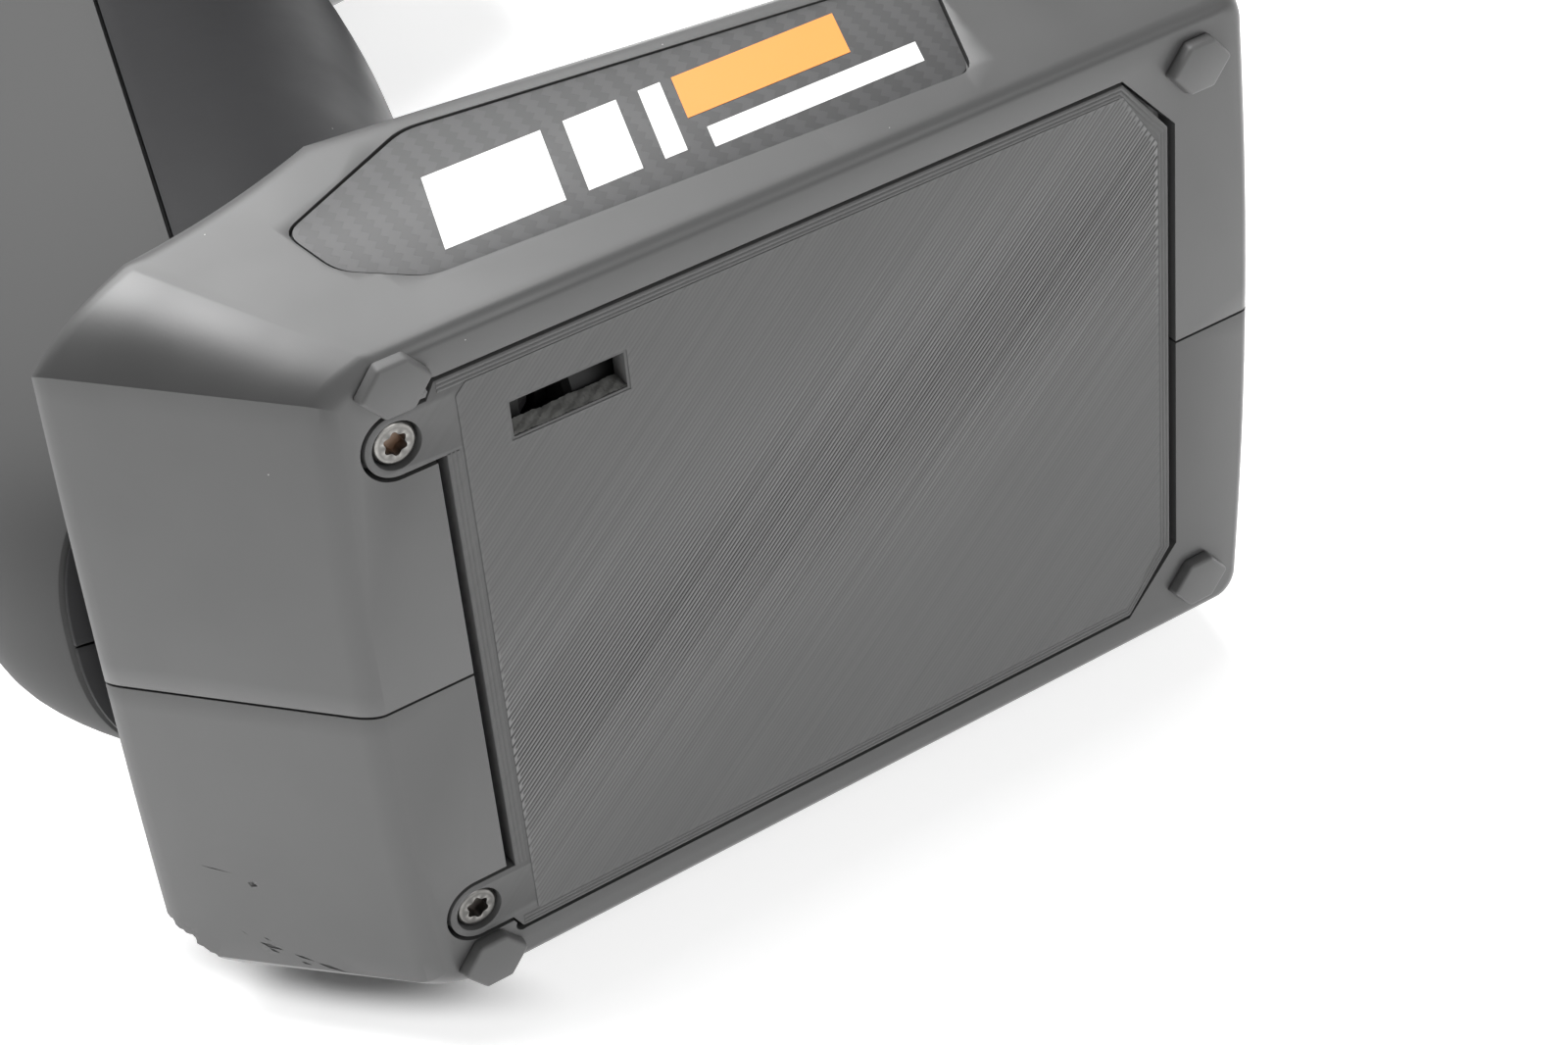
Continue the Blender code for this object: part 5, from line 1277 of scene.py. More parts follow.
@dataclass
class BatteryCover:
    """Printed cover with two screw ears, a slot, laid lines and perimeter beads."""

    half_width: float = 0.0340
    rear: float = 0.0047
    front: float = COVER_FRONT
    thick: float = 0.0024
    side_gap: float = 0.00045
    end_gap: float = 0.0010
    corner: Pair = (0.0070, 0.0057)
    ledge: float = 0.0026
    ease: float = 0.00018
    ear_x: float = 0.0290
    ear_radius: float = 0.0033
    ear_notch: float = 0.0010
    ear_shoulder: float = 0.35
    # Left, rear, right and front edge of the slot, and the rough strip torn from its wall.
    slot: Row = (0.0245, 0.0117, 0.0284, 0.0241)
    torn_stand: float = 0.00016
    torn_rough: float = 0.00006
    torn_waves: tuple[Row, ...] = ((1.0, 1.3, 2.0, 0.0), (0.6, 3.1, -4.2, 1.0))
    torn_scatter: float = 0.45
    torn_grid: tuple[int, int] = (90, 14)
    torn_lip: float = 0.00002
    torn_seed: int = 5
    lines: LaidLines = LaidLines()
    bead_width: float = 0.00045
    bead_count: int = 3
    # Share of a bead's width kept clear round the slot, and of the ears' notch behind the lines.
    lines_clear: Pair = (0.7, 0.4)
    # Share of the way in by which the ends of the front chamfers move.
    chamfer_draw: float = 0.4
    # Shares of a bead's width, and of the lines' height there.
    bead_section: tuple[Pair, ...] = ((0.0, 0.2), (0.25, -0.75), (0.5, -1.0), (0.75, -0.75), (1.0, 0.2))
    head: float = 0.00225
    head_height: float = 0.0015
    head_sink: float = 0.0003
    head_play: float = 0.0001
    socket_depth: float = 0.0011
    head_round: float = 0.00055
    socket: float = 0.56
    # Radius of the socket's floor and of its mouth as shares of the head's, and the rounding of its lip.
    socket_shares: Pair = (0.47, 0.50)
    lip_round: float = 0.00008
    lobes: int = 6
    lobe: float = 0.13
    screw_steps: int = 72
    # Share of the head's radius where rim wear starts, share over which it grows, and its depth.
    rim_wear: Triple = (0.72, 0.2, 0.0007)
    # Share of the head's radius over which lip wear fades, its depth and its strength.
    lip_wear: Triple = (0.10, 0.0002, 0.8)
    # Reach of the rust as a share of the socket's radius, and the depths between which it lies.
    socket_rust: Triple = (1.15, 0.0001, 0.0012)
    shank: float = 0.00125
    shank_end: float = 0.0085
    # How far each screw's rim is rubbed bright and its socket has rusted.
    screws: tuple[tuple[Side, float, float], ...] = ((Side.RIGHT, 1.0, 0.85), (Side.LEFT, 0.45, 0.1))

    def outline(self, side_gap: float = 0.0, end_gap: float = 0.0) -> np.ndarray:
        """Outline of the cover: chamfered front, round ears at the rear.

        Args:
            side_gap: How far it is grown at its sides.
            end_gap: How far it is grown at its ends.

        Returns:
            Rows of X and Y.
        """
        half, ear = self.half_width + side_gap, self.ear_radius + side_gap
        shoulder = self.rear - self.ear_shoulder * self.ear_radius
        return mirrored(np.vstack([
            (self.ear_x - ear, self.rear - end_gap),
            arc((self.ear_x, 0.0), (ear, ear), 180.0, 360.0, 33),
            (self.ear_x + ear, shoulder), (half, shoulder + self.ear_notch),
            (half, self.front - self.corner[1]),
            (self.half_width - self.corner[0], self.front + end_gap)]))

    def bay(self) -> np.ndarray:
        """Outline of the opening behind the cover."""
        half, front = self.half_width - self.ledge, self.front - self.ledge
        return mirrored(np.array([(half, self.rear + self.ledge), (half, front - self.corner[1]),
                                  (half - self.corner[0], front)]))

    def laid_lines(self) -> Item:
        """The laid lines, inside the beads and round the slot.

        Returns:
            The relief.
        """
        margin, keep = self.bead_width * self.bead_count, self.bead_width * self.lines_clear[0]
        half, rear = self.half_width - margin, self.rear + margin + self.ear_notch * self.lines_clear[1]
        edge = mirrored(np.array([(half, rear), (half, self.front - self.corner[1]),
                                  (half - self.corner[0], self.front - margin)]))
        x0, y0, x1, y1 = np.array(self.slot) + (-keep, -keep, keep, keep)
        return self.lines.build(edge, np.array([(x1, y0), (x1, y1), (x0, y1), (x0, y0)]))

    def beads(self) -> Surface:
        """Perimeter beads: a round-topped section carried along sides and front, and between the ears.

        Returns:
            The open sheets of both runs.
        """
        section = np.array(self.bead_section)
        inward = (np.arange(self.bead_count)[:, None] + section[:, 0]).reshape(-1, 1) * self.bead_width
        height = np.tile(section[:, 1] * self.lines.height, self.bead_count)[:, None]
        half, front = self.half_width - inward, self.front - inward
        chamfer = self.half_width - self.corner[0] - inward * self.chamfer_draw
        flank = self.front - self.corner[1] - inward * self.chamfer_draw
        rear, ear = (np.full_like(half, v) for v in (self.rear, self.ear_x - self.ear_radius))
        runs = [([half, half, chamfer, -chamfer, -half, -half],
                 [rear, flank, front, front, flank, rear]),
                ([-ear, ear], [self.rear + inward, self.rear + inward])]
        around, between_ears = (open_sheet(np.stack(
            [np.hstack(x), np.hstack(y), np.tile(height, len(x))], -1)) for x, y in runs)
        return around.joined(between_ears)

    def torn_wall(self) -> Surface:
        """Rough strip on the slot's inner wall, where printed threads were pulled away.

        Its distance from the wall is a sum of sine waves of the place along and across it, and a seeded
        random part.

        Returns:
            The open strip.
        """
        x0, y0, _, y1 = self.slot
        long, wide = self.torn_grid
        along, deep = np.meshgrid(np.linspace(y0, y1, long),
                                  np.linspace(-self.torn_lip, self.thick, wide))
        rough = ripples(along - y0, deep, self.torn_waves)
        rough += np.random.default_rng(self.torn_seed).normal(0.0, self.torn_scatter, rough.shape)
        return open_sheet(np.stack([x0 + self.torn_stand + self.torn_rough * rough, along, deep], -1))

    def plate(self) -> Item:
        """The cover's body, with slot, counterbores and screw holes.

        Returns:
            The body.
        """
        body = prism(self.outline(), 0.0, self.thick).as_object("battery_cover_body")
        x0, y0, x1, y1 = self.slot
        seat = self.head_sink + self.head_height + self.head_play
        bores = [cylinder(radius + FIT, -BEYOND, depth)
                 for radius, depth in ((self.head, seat), (self.shank, BEYOND))]
        work(body, Boolean.CUT, box((x0, y0, -BEYOND), (x1, y1, BEYOND)),
             *(bore.at(ear.value * self.ear_x, 0.0) for ear in Side for bore in bores))
        ease_edges(body, self.ease)
        return body

    def screw(self, side: Side, rubbed: float, rusted: float) -> Item:
        """A screw: one polar grid from the socket's floor over the rounded head and down the shank.

        The socket's radius swells and shrinks six times round, as one plus a share of the cosine of six
        times the angle. The rim and the socket's lip are marked as worn, the socket as rusted.

        Args:
            side: The side that it sits on.
            rubbed: Share of wear on the rim.
            rusted: Share of rust in the socket.

        Returns:
            The screw.
        """
        head, top = self.head, self.head_sink
        under, floor, socket = top + self.head_height, top + self.socket_depth, head * self.socket
        profile = rounded_profile([
            (POLE, floor, 0.0), (head * self.socket_shares[0], floor, 0.0),
            (head * self.socket_shares[1], top, self.lip_round), (head, top, self.head_round),
            (head, under, 0.0), (self.shank, under, 0.0),
            (self.shank, self.shank_end, 0.0), (POLE, self.shank_end, 0.0)])
        inside = (profile[:, 0] < socket) & (np.arange(len(profile)) < len(profile) // 2)
        wave = np.cos(self.lobes * angles(self.screw_steps))
        lobes = np.where(inside, self.lobe, 0.0)[:, None] * wave
        item = lathe(profile, self.screw_steps, lobes).as_object(f"screw_{side.word}")
        x, y, z = vertex_array(item).T
        radius, depth = np.hypot(x, y), z - top
        start, growth, deep = self.rim_wear
        rim = np.clip((radius - head * start) / (head * growth), 0.0, 1.0) * (depth < deep)
        fade, deep, strength = self.lip_wear
        lip = np.clip(1.0 - np.abs(radius - socket) / (head * fade), 0.0, 1.0) * (depth < deep)
        reach, shallow, deep = self.socket_rust
        sunk = (radius < socket * reach) & (depth > shallow) & (depth < deep)
        mark(item, "wear", np.maximum(rim * rubbed, lip * strength))
        mark(item, "rust", sunk * rusted)
        item.data.transform(Matrix.Translation((side.value * self.ear_x, 0.0, 0.0)))
        return item

    def build(self) -> None:
        """Make and dress the cover, its relief and its screws."""
        dress(self.plate(), PRINTED, "cover", ["battery_cover"])
        for item in (self.laid_lines(), self.beads().as_object("cover_border_beads")):
            dress(face_down(item), PRINTED, "cover")
        dress(self.torn_wall().as_object("cover_torn_wall"), TORN, "cover")
        for side, rubbed, rusted in self.screws:
            dress(self.screw(side, rubbed, rusted), SCREW, "cover",
                  [f"cover_screw_{side.word}"])


@dataclass
class Feet:
    """Four hexagonal rubber feet with eased edges."""

    half_width: float = 0.0030
    half_length: float = 0.0040
    flat: float = 0.0015
    height: float = 0.0014
    draft: float = 0.0003
    root: float = 0.00008
    ease: float = 0.00035
    crease: float = 25.0
    places: tuple[tuple[str, Pair], ...] = (("rear", (0.0357, 0.0004)), ("front", (0.0331, 0.0928)))

    def loop(self, draft: float, height: float) -> np.ndarray:
        """Hexagon drawn in by a draft, at a height.

        Args:
            draft: How far it is drawn in.
            height: Its height.

        Returns:
            Rows of X, Y and Z.
        """
        half, tip = self.half_width - draft, self.half_length - draft
        corners = np.array([(half, -self.flat), (half, self.flat), (0.0, tip), (-half, self.flat),
                            (-half, -self.flat), (0.0, -tip)])
        return np.column_stack([corners, np.full(len(corners), height)])

    def build(self) -> None:
        """Make and dress the four feet."""
        foot = loft(np.array([self.loop(self.draft, -self.height), self.loop(0.0, self.root)]))
        for word, (x, y) in self.places:
            for side in Side:
                item = foot.at(side.value * x, y).as_object(f"rubber_foot_{word}_{side.word}")
                ease_edges(item, self.ease, 3, self.crease)
                dress(item, FOOT, "casing", [f"foot_{word}_{side.word}"])


# Handle


@dataclass(frozen=True)
class DishedKey:
    """A round key with a dished top over a collar."""

    radius: float
    # Depth of the dish in its middle and further out, and the crown round it as a share of the radius.
    dish: Pair
    crown: float
    softness: float
    drop: float = 0.0004
    collar: float = 0.0014
    # Where the dish turns up, as a share of the radius, and its rounding there.
    dish_turn: Pair = (0.6, 0.0008)
    steps: int = 64

    def surface(self, wide: float, bottom: float, top: float) -> Surface:
        """Carry the key's profile round its axis.

        Args:
            wide: Radius of the collar.
            bottom: Height of the collar's underside.
            top: Height of the crown.

        Returns:
            The closed skin.
        """
        radius, seat, (share, rounding) = self.radius, bottom + self.collar, self.dish_turn
        return lathe(rounded_profile([
            (POLE, top - self.dish[0], 0.0), (radius * share, top - self.dish[1], rounding),
            (radius * self.crown, top, self.softness), (radius, top - self.drop, self.softness),
            (radius, seat, 0.0), (wide, seat, 0.0), (wide, bottom, 0.0),
            (POLE, bottom, 0.0)]), self.steps)


@dataclass
class Handle:
    """Leaning handle in two halves with a rubber grip wrapped round its rear."""

    # Height, reach behind and before the axis, and half width of each section.
    sections: tuple[Row, ...] = (
        (0.0215, 0.0100, 0.0310, 0.0195), (0.0270, 0.0110, 0.0315, 0.0198),
        (0.0286, 0.0185, 0.0318, 0.0203), (0.0310, 0.0210, 0.0320, 0.0206),
        (0.0380, 0.0263, 0.0328, 0.0214), (0.0460, 0.0288, 0.0332, 0.0222),
        (0.0570, 0.0300, 0.0336, 0.0230), (0.0680, 0.0299, 0.0336, 0.0234),
        (0.0820, 0.0290, 0.0334, 0.0234), (0.1000, 0.0275, 0.0332, 0.0230),
        (0.1200, 0.0291, 0.0309, 0.0229), (0.1400, 0.0326, 0.0238, 0.0228),
        (0.1685, 0.0412, 0.0170, 0.0232))
    straight_below: float = 0.0312
    axis_y: float = -0.0151
    lean: float = 0.30
    roundness: float = 2.5
    ease: float = 0.00025
    grip_thick: float = 0.0022
    grip_bottom: float = 0.0292
    grip_top: float = 0.1330
    grip_proud: float = 0.0001
    # How far the grip's channel is wider, and the grip narrower, than the seam.
    grip_gaps: Pair = (0.00035, 0.00015)
    grip_ease: float = 0.00045
    # Points round a section and sections for each row: outside, core and sockets.
    shell_grid: tuple[int, int] = (160, 4)
    core_grid: tuple[int, int] = (120, 3)
    socket_grid: tuple[int, int] = (90, 1)
    seam_y: float = -0.0137
    seam_lean: float = 0.298
    key: DishedKey = DishedKey(0.0050, (0.0004, 0.00025), 0.82, 0.0006)
    key_place: Pair = (0.0310, 0.1455)
    key_well: Pair = (0.0095, 0.05)

    def reach(self, z: np.ndarray, column: int) -> np.ndarray:
        """A size of the section at heights, on a smooth curve through the rows.

        Between rows the value follows the Hermite cubic whose slopes are the mean slopes of the two
        neighbouring rows. Near the foot it goes straight from row to row.

        Args:
            z: Heights.
            column: Column of the sections.

        Returns:
            The size at each height.
        """
        table = np.array(self.sections)
        x, y = table[:, 0], table[:, column]
        slopes = np.gradient(y, x)
        i = np.clip(np.searchsorted(x, z) - 1, 0, len(x) - 2)
        width = x[i + 1] - x[i]
        t = (z - x[i]) / width
        curve = ((2 * t ** 3 - 3 * t ** 2 + 1) * y[i] + (t ** 3 - 2 * t ** 2 + t) * width * slopes[i]
                 + (3 * t ** 2 - 2 * t ** 3) * y[i + 1] + (t ** 3 - t ** 2) * width * slopes[i + 1])
        return np.where(z < self.straight_below, np.interp(z, x, y), curve)

    def skin(self, growth: float, points: int, fine: int) -> Surface:
        """The handle's skin: superellipses with their own rear and front reach, up a leaning axis.

        Args:
            growth: How far the skin is moved out.
            points: Points round a section.
            fine: Sections for each row of the table.

        Returns:
            The closed skin.
        """
        z = between(np.array(self.sections)[:, 0], fine)[:, None]
        across, along = superellipse(points, self.roundness)
        rear, front, half = (self.reach(z, k) + growth for k in (1, 2, 3))
        y = np.where(along > 0, along * front, along * rear) + self.axis_y + self.lean * z
        return loft(np.stack([across * half, y, np.broadcast_to(z, y.shape)], -1))

    def behind_seam(self, growth: float) -> Surface:
        """The space behind the grip's leaning seam, between its lower and upper edges.

        Args:
            growth: How far the seam and the edges are moved out.

        Returns:
            The closed space.
        """
        low, high = self.grip_bottom - growth, self.grip_top + growth
        near, far = (self.seam_y + self.seam_lean * z + growth for z in (low, high))
        outline = np.array([(-FAR, low), (near, low), (far, high), (-FAR, high)])
        upright = axes_frame((0.0, 1.0, 0.0), (0.0, 0.0, 1.0), (1.0, 0.0, 0.0), (0.0, 0.0, 0.0))
        return prism(outline, -FAR / 2, FAR / 2).moved(upright)

    def build(self) -> None:
        """Make and dress both halves, the grip and the thumb key."""
        channel = self.behind_seam(self.grip_gaps[0]).as_object("channel")
        work(channel, Boolean.CUT, self.skin(-self.grip_thick, *self.core_grid))
        hollow = Surface.of(channel)
        bpy.data.objects.remove(channel)
        key, out = self.key, sideways(*self.key_place, Side.LEFT)
        for side in Side:
            half = self.skin(0.0, *self.shell_grid).as_object(f"handle_shell_{side.word}")
            work(half, Boolean.CUT, hollow)
            if side is Side.LEFT:
                work(half, Boolean.CUT, cylinder(key.radius + FIT, *self.key_well).moved(out))
            work(half, Boolean.CUT, beyond_parting(side))
            ease_edges(half, self.ease)
            # The darker handle finish paints the shade on the handle.
            dress(half, HANDLE_PAINTED_SHADE, "casing", [f"handle_{side.word}"])
        grip = self.skin(self.grip_proud, *self.shell_grid).as_object("grip_sleeve")
        work(grip, Boolean.KEEP, self.behind_seam(-self.grip_gaps[1]))
        work(grip, Boolean.CUT, self.skin(FIT - self.grip_thick, *self.core_grid))
        ease_edges(grip, self.grip_ease, 3)
        dress(grip, GRIP, "casing", ["rubber_grip"])
        top, bottom = ORIGIN[0] - node_box("grip_key")[:, 0]
        thumb = key.surface(key.radius + key.collar, bottom, top).moved(out).as_object("thumb_key")
        dress(thumb, KEY, "grip_key", ["grip_key"])


# Head


@dataclass
class Head:
    """Head in two halves with display recess, and openings for wheel, trigger and controls."""

    rear: float = -0.0310
    length: float = 0.1490
    bottom: float = 0.1610
    height: float = 0.0820
    half_width: float = 0.0300
    squareness: float = 4.5
    # Distance from the rear or front end, and what the section lacks there below, above and at a side.
    rear_rows: tuple[Row, ...] = (
        (0.0000, 0.0275, 0.0345, 0.0110), (0.0018, 0.0205, 0.0285, 0.0065),
        (0.0052, 0.0138, 0.0240, 0.0034), (0.0110, 0.0087, 0.0205, 0.0013),
        (0.0250, 0.0030, 0.0140, 0.0002), (0.0510, 0.0000, 0.0030, 0.0000),
        (0.0630, 0.0000, 0.0000, 0.0000))
    front_rows: tuple[Row, ...] = (
        (0.0580, 0.0025, 0.0000, 0.0000), (0.0260, 0.0095, 0.0055, 0.0005),
        (0.0090, 0.0155, 0.0115, 0.0022), (0.0030, 0.0205, 0.0160, 0.0055),
        (0.0000, 0.0265, 0.0220, 0.0095))
    wall: float = 0.0026
    ease: float = 0.00030
    # Points round a section and sections for each row, outside and inside.
    shell_grid: tuple[int, int] = (120, 3)
    core_grid: tuple[int, int] = (80, 2)
    display_y: float = -0.0010
    display_size: Pair = (0.0440, 0.0270)
    display_depth: float = 0.0054
    wheel: Pair = (0.0800, 0.2045)
    # Radius of the wheel's sleeve, and the depths between which it opens the head.
    sleeve: Triple = (0.0093, 0.004, 0.06)
    sleeve_steps: int = 64
    trigger: Pair = (0.0760, 0.1780)
    # Half width of the trigger's slot, its reach to rear and front, and below and above the pin.
    slot: Row = (0.0068, 0.0140, 0.02, 0.0075)
    # How far the holes for the controls reach below and above the top.
    control_depth: Pair = (0.0105, 0.0115)
    # Place and radius of the holes for keys, dial, knob and lens.
    holes: tuple[Triple, ...] = (
        (-0.0135, 0.0330, 0.0049), (0.0, 0.0330, 0.0049), (0.0135, 0.0330, 0.0049),
        (0.0, 0.0560, 0.0033), (0.0165, 0.0640, 0.0033), (0.0, 0.0440, 0.0017))
    # Corners of the openings for the two trims.
    trims: tuple[tuple[Pair, Pair], ...] = (((-0.0084, 0.0723), (0.0084, 0.0797)),
                                            ((-0.0202, 0.0496), (-0.0128, 0.0664)))

    def table(self) -> np.ndarray:
        """Sections from rear to front.

        Returns:
            Rows of distance forward, underside, top and half width.
        """
        rear, front = np.array(self.rear_rows), np.array(self.front_rows)
        y = np.concatenate([self.rear + rear[:, 0], self.rear + self.length - front[:, 0]])
        rows = np.vstack([rear, front])
        return np.column_stack([y, self.bottom + rows[:, 1], self.bottom + self.height - rows[:, 2],
                                self.half_width - rows[:, 3]])

    def skin(self, growth: float, points: int, fine: int) -> Surface:
        """The head's skin: superellipse sections carried forward.

        Args:
            growth: How far the skin is moved out.
            points: Points round a section.
            fine: Sections for each row of the table.

        Returns:
            The closed skin.
        """
        table = self.table()
        y = between(table[:, 0], fine)[:, None]
        low, high, half = (np.interp(y, table[:, 0], table[:, k]) for k in (1, 2, 3))
        centre = self.rear + self.length / 2
        place = centre + (y - centre) * (1.0 + 2 * growth / self.length)
        across, upright = superellipse(points, self.squareness)
        z = (low + high) / 2 + upright * ((high - low) / 2 + growth)
        return loft(np.stack([across * (half + growth), np.broadcast_to(place, z.shape), z], -1))

    def display_box(self, growth: float, low: float, high: float) -> Surface:
        """A box on the sloping rear deck, as wide and long as the display and a growth.

        Args:
            growth: How far it reaches past the display on each side.
            low: Lower level over the deck.
            high: Upper level over the deck.

        Returns:
            The box.
        """
        table, run = self.table(), self.display_size[1] / 2
        ends = np.interp((self.display_y - run, self.display_y + run), table[:, 0], table[:, 2])
        place = Matrix.Translation((0.0, self.display_y, ends.mean()))
        slope = Matrix.Rotation(math.atan2(ends[1] - ends[0], 2 * run), 4, "X")
        wide, long = (size / 2 + growth for size in self.display_size)
        return box((-wide, -long, low), (wide, long, high)).moved(place @ slope)

    def openings(self) -> list[Surface]:
        """Shapes that the head's skin leaves open.

        Returns:
            Display, wheel sleeve, trigger slot, round holes and trim openings.
        """
        half, reach, below, above = self.slot
        y, z = self.trigger
        top = self.bottom + self.height
        low, high = top - self.control_depth[0], top + self.control_depth[1]
        radius, *depths = self.sleeve
        return [self.display_box(FIT, -self.display_depth, 2 * BEYOND),
                cylinder(radius, *depths, self.sleeve_steps).moved(sideways(*self.wheel, Side.RIGHT)),
                box((-half, y - reach, z - below), (half, y + reach, z + above)),
                *(cylinder(radius, low, high).at(*place) for *place, radius in self.holes),
                *(box((*start, low), (*end, high)) for start, end in self.trims)]

    def build(self, handle: Handle) -> None:
        """Make and dress both halves.

        Args:
            handle: The handle, which gives the socket in the underside.
        """
        tub = self.display_box(self.wall, -self.display_depth - self.wall, -self.wall)
        for side in Side:
            half = self.skin(0.0, *self.shell_grid).as_object(f"head_shell_{side.word}")
            work(half, Boolean.CUT, self.skin(-self.wall, *self.core_grid))
            work(half, Boolean.JOIN, tub)
            work(half, Boolean.CUT, *self.openings(), handle.skin(FIT, *handle.socket_grid),
                 beyond_parting(side))
            ease_edges(half, self.ease)
            dress(half, CASING, "casing", [f"head_{side.word}"])


# Steering and controls


CopyRow = tuple[str, str, Finish, str, str, float]


@dataclass
class Steering:
    """Foam tyre with cross grooves, and the spoked wheel's parts."""

    axis: Pair = (0.0800, 0.2045)
    radius: float = 0.0340
    crown: float = 0.0012
    bed: float = 0.0268
    edge_round: float = 0.0008
    # Shares of the width that the tread takes up and that its grooves run across.
    tread: float = 0.88
    grooved: float = 0.80
    grooves: int = 40
    groove_depth: float = 0.0010
    groove_steepness: float = 3.0
    steps_per_groove: int = 12
    tread_points: int = 25
    # How many crowns below the tread the shoulder ends.
    shoulder_drop: float = 3.0
    copies: tuple[CopyRow, ...] = (
        ("steering_wheel", "wheel_spoked", WHEEL, "wheel", "key_plastic", 0.0004),
        ("wheel_nut", "wheel_nut_eased", STEEL, "wheel", "bright_steel", 0.0003),
        ("wheel_shaft", "wheel_shaft_eased", STEEL, "wheel", "bright_steel", 0.0),
        ("wheel_mount", "wheel_mount_eased", CASING, "casing", "casing_plastic", 0.0004))

    def tyre(self) -> Surface:
        """The tyre: a crowned tread between rounded shoulders, carried round the wheel's axis.

        A groove is cut where the sine of half the count times the angle is small.

        Returns:
            The ring's skin.
        """
        start, end = node_box("foam_tyre")[:, 0] - ORIGIN[0]
        middle, half = (start + end) / 2, (end - start) / 2
        across = np.linspace(1.0, -1.0, self.tread_points)
        tread = np.column_stack([self.radius - self.crown * across ** 2, half * self.tread * across])
        edge = self.radius - self.shoulder_drop * self.crown
        steps = self.grooves * self.steps_per_groove
        shoulder = rounded_profile([(self.bed, half, 0.0), (edge, half, self.edge_round),
                                    (*tread[0], 0.0)], 6)[:-1]
        profile = np.vstack([shoulder, tread, shoulder[::-1] * (1.0, -1.0)])
        treads = (np.abs(profile[:, 1]) < half * self.grooved) & (profile[:, 0] > edge)
        wave = np.abs(np.sin(self.grooves * angles(steps) / 2))
        cut = 1.0 - np.clip(wave * self.groove_steepness, 0.0, 1.0)
        relief = -np.where(treads, self.groove_depth / self.radius, 0.0)[:, None] * cut
        ring = lathe(profile + (0.0, middle), steps, relief, ring=True)
        return ring.moved(sideways(*self.axis, Side.RIGHT))

    def build(self) -> None:
        """Make and dress the tyre, and dress finer copies of wheel, nut, shaft and mount."""
        dress(self.tyre().as_object("tyre_grooved"), FOAM, "wheel", ["foam_tyre"])
        for row in self.copies:
            dress_copy(*row)


@dataclass(frozen=True)
class RoundControl:
    """A turned control whose skirt is scalloped."""

    node: str
    name: str
    radius: float
    scallops: int
    depth: float
    # Radius at the top as a share of the foot's.
    taper: float
    skirt: float
    stem: float = 0.0030
    dish: float = 0.0003
    # Shares of the top's radius between which the dish turns up, and roundings of top and foot.
    dish_shares: Pair = (0.70, 0.76)
    roundings: Pair = (0.0007, 0.0004)
    # Share of the top's radius where scallops start, and share of the foot's over which they deepen.
    skirt_shares: Pair = (0.80, 0.12)
    steps_per_scallop: int = 12

    def build(self) -> None:
        """Make the control to the box of its node and dress it.

        The radius falls by the depth where the cosine of the count times the angle is low.
        """
        low, high = node_box(self.node)
        bottom, top = low[2], high[2]
        foot, rim, dish = top - self.skirt, self.radius * self.taper, self.dish
        profile = rounded_profile([
            (POLE, top - dish, 0.0), (rim * self.dish_shares[0], top - dish, dish),
            (rim * self.dish_shares[1], top, dish), (rim, top, self.roundings[0]),
            (self.radius, foot, self.roundings[1]), (self.stem, foot, 0.0),
            (self.stem, bottom, 0.0), (POLE, bottom, 0.0)], 6)
        start, growth = self.skirt_shares
        skirt = np.clip((profile[:, :1] - rim * start) / (self.radius * growth), 0.0, 1.0)
        steps = self.scallops * self.steps_per_scallop
        wave = np.clip(0.5 - 0.5 * np.cos(self.scallops * angles(steps)), 0.0, 1.0) ** 2
        skin = lathe(profile, steps, -skirt * self.depth / self.radius * wave)
        item = skin.at(*(low + high)[:2] / 2).as_object(self.name)
        dress(item, KEY, self.node, [self.node], placed=True)


@dataclass
class Controls:
    """Keys, dial, knob, rockers, trigger, display and lens."""

    key: DishedKey = DishedKey(0.0046, (0.0005, 0.0003), 0.84, 0.0005)
    keys: tuple[str, ...] = ("power_key", "back_key", "clear_key")
    rounds: tuple[RoundControl, ...] = (
        RoundControl("menu_dial", "menu_dial_ridged", 0.0085, 30, 0.0006, 0.97, 0.0060),
        RoundControl("aux_knob", "aux_knob_fluted", 0.0060, 10, 0.0008, 0.86, 0.0085))
    copies: tuple[CopyRow, ...] = (
        ("steering_trim", "steering_trim_eased", KEY, "steering_trim", "key_plastic", 0.00025),
        ("throttle_trim", "throttle_trim_eased", KEY, "throttle_trim", "key_plastic", 0.00025),
        ("trigger", "trigger_eased", WHEEL, "trigger", "key_plastic", 0.0),
        ("display_window", "display_window_eased", WINDOW, "casing", "window_plastic", 0.0004),
        ("status_lens", "status_lens_smooth", LENS, "casing", "lens_plastic", 0.0))

    def build(self) -> None:
        """Make and dress every control, the keys to the boxes of their nodes."""
        for node in self.keys:
            low, high = node_box(node)
            skin = self.key.surface((high[0] - low[0]) / 2, low[2], high[2])
            item = skin.at(*(low + high)[:2] / 2).as_object(f"{node}_dished")
            dress(item, KEY, node, [node], placed=True)
        for control in self.rounds:
            control.build()
        for row in self.copies:
            dress_copy(*row)


@dataclass
class InnerWorks:
    """CAD nodes that stay as they are, with their finishes."""

    # Starts of the nodes' names; what isn't listed is steel. Tray and cells are near black, which paints
    # the shade inside the bay seen through the cover's slot.
    finishes: tuple[tuple[Finish, tuple[str, ...]], ...] = (
        (TRAY_PAINTED_SHADE, ("battery_tray",)), (JACKET_PAINTED_SHADE, ("battery_cell",)), (FOOT, ("buzzer",)),
        (LAMINATE, ("main_board", "key_board", "antenna_board")), (PANEL, ("display_panel",)),
        (SENSOR, ("dial_encoder", "knob_potentiometer", "steering_sensor", "trigger_sensor")))

    def build(self) -> None:
        """Give every node a finish by the start of its name."""
        for name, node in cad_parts.items():
            finish = next((f for f, starts in self.finishes if name.startswith(starts)), STEEL)
            node.data.materials.clear()
            node.data.materials.append(finish.material())


# Studio


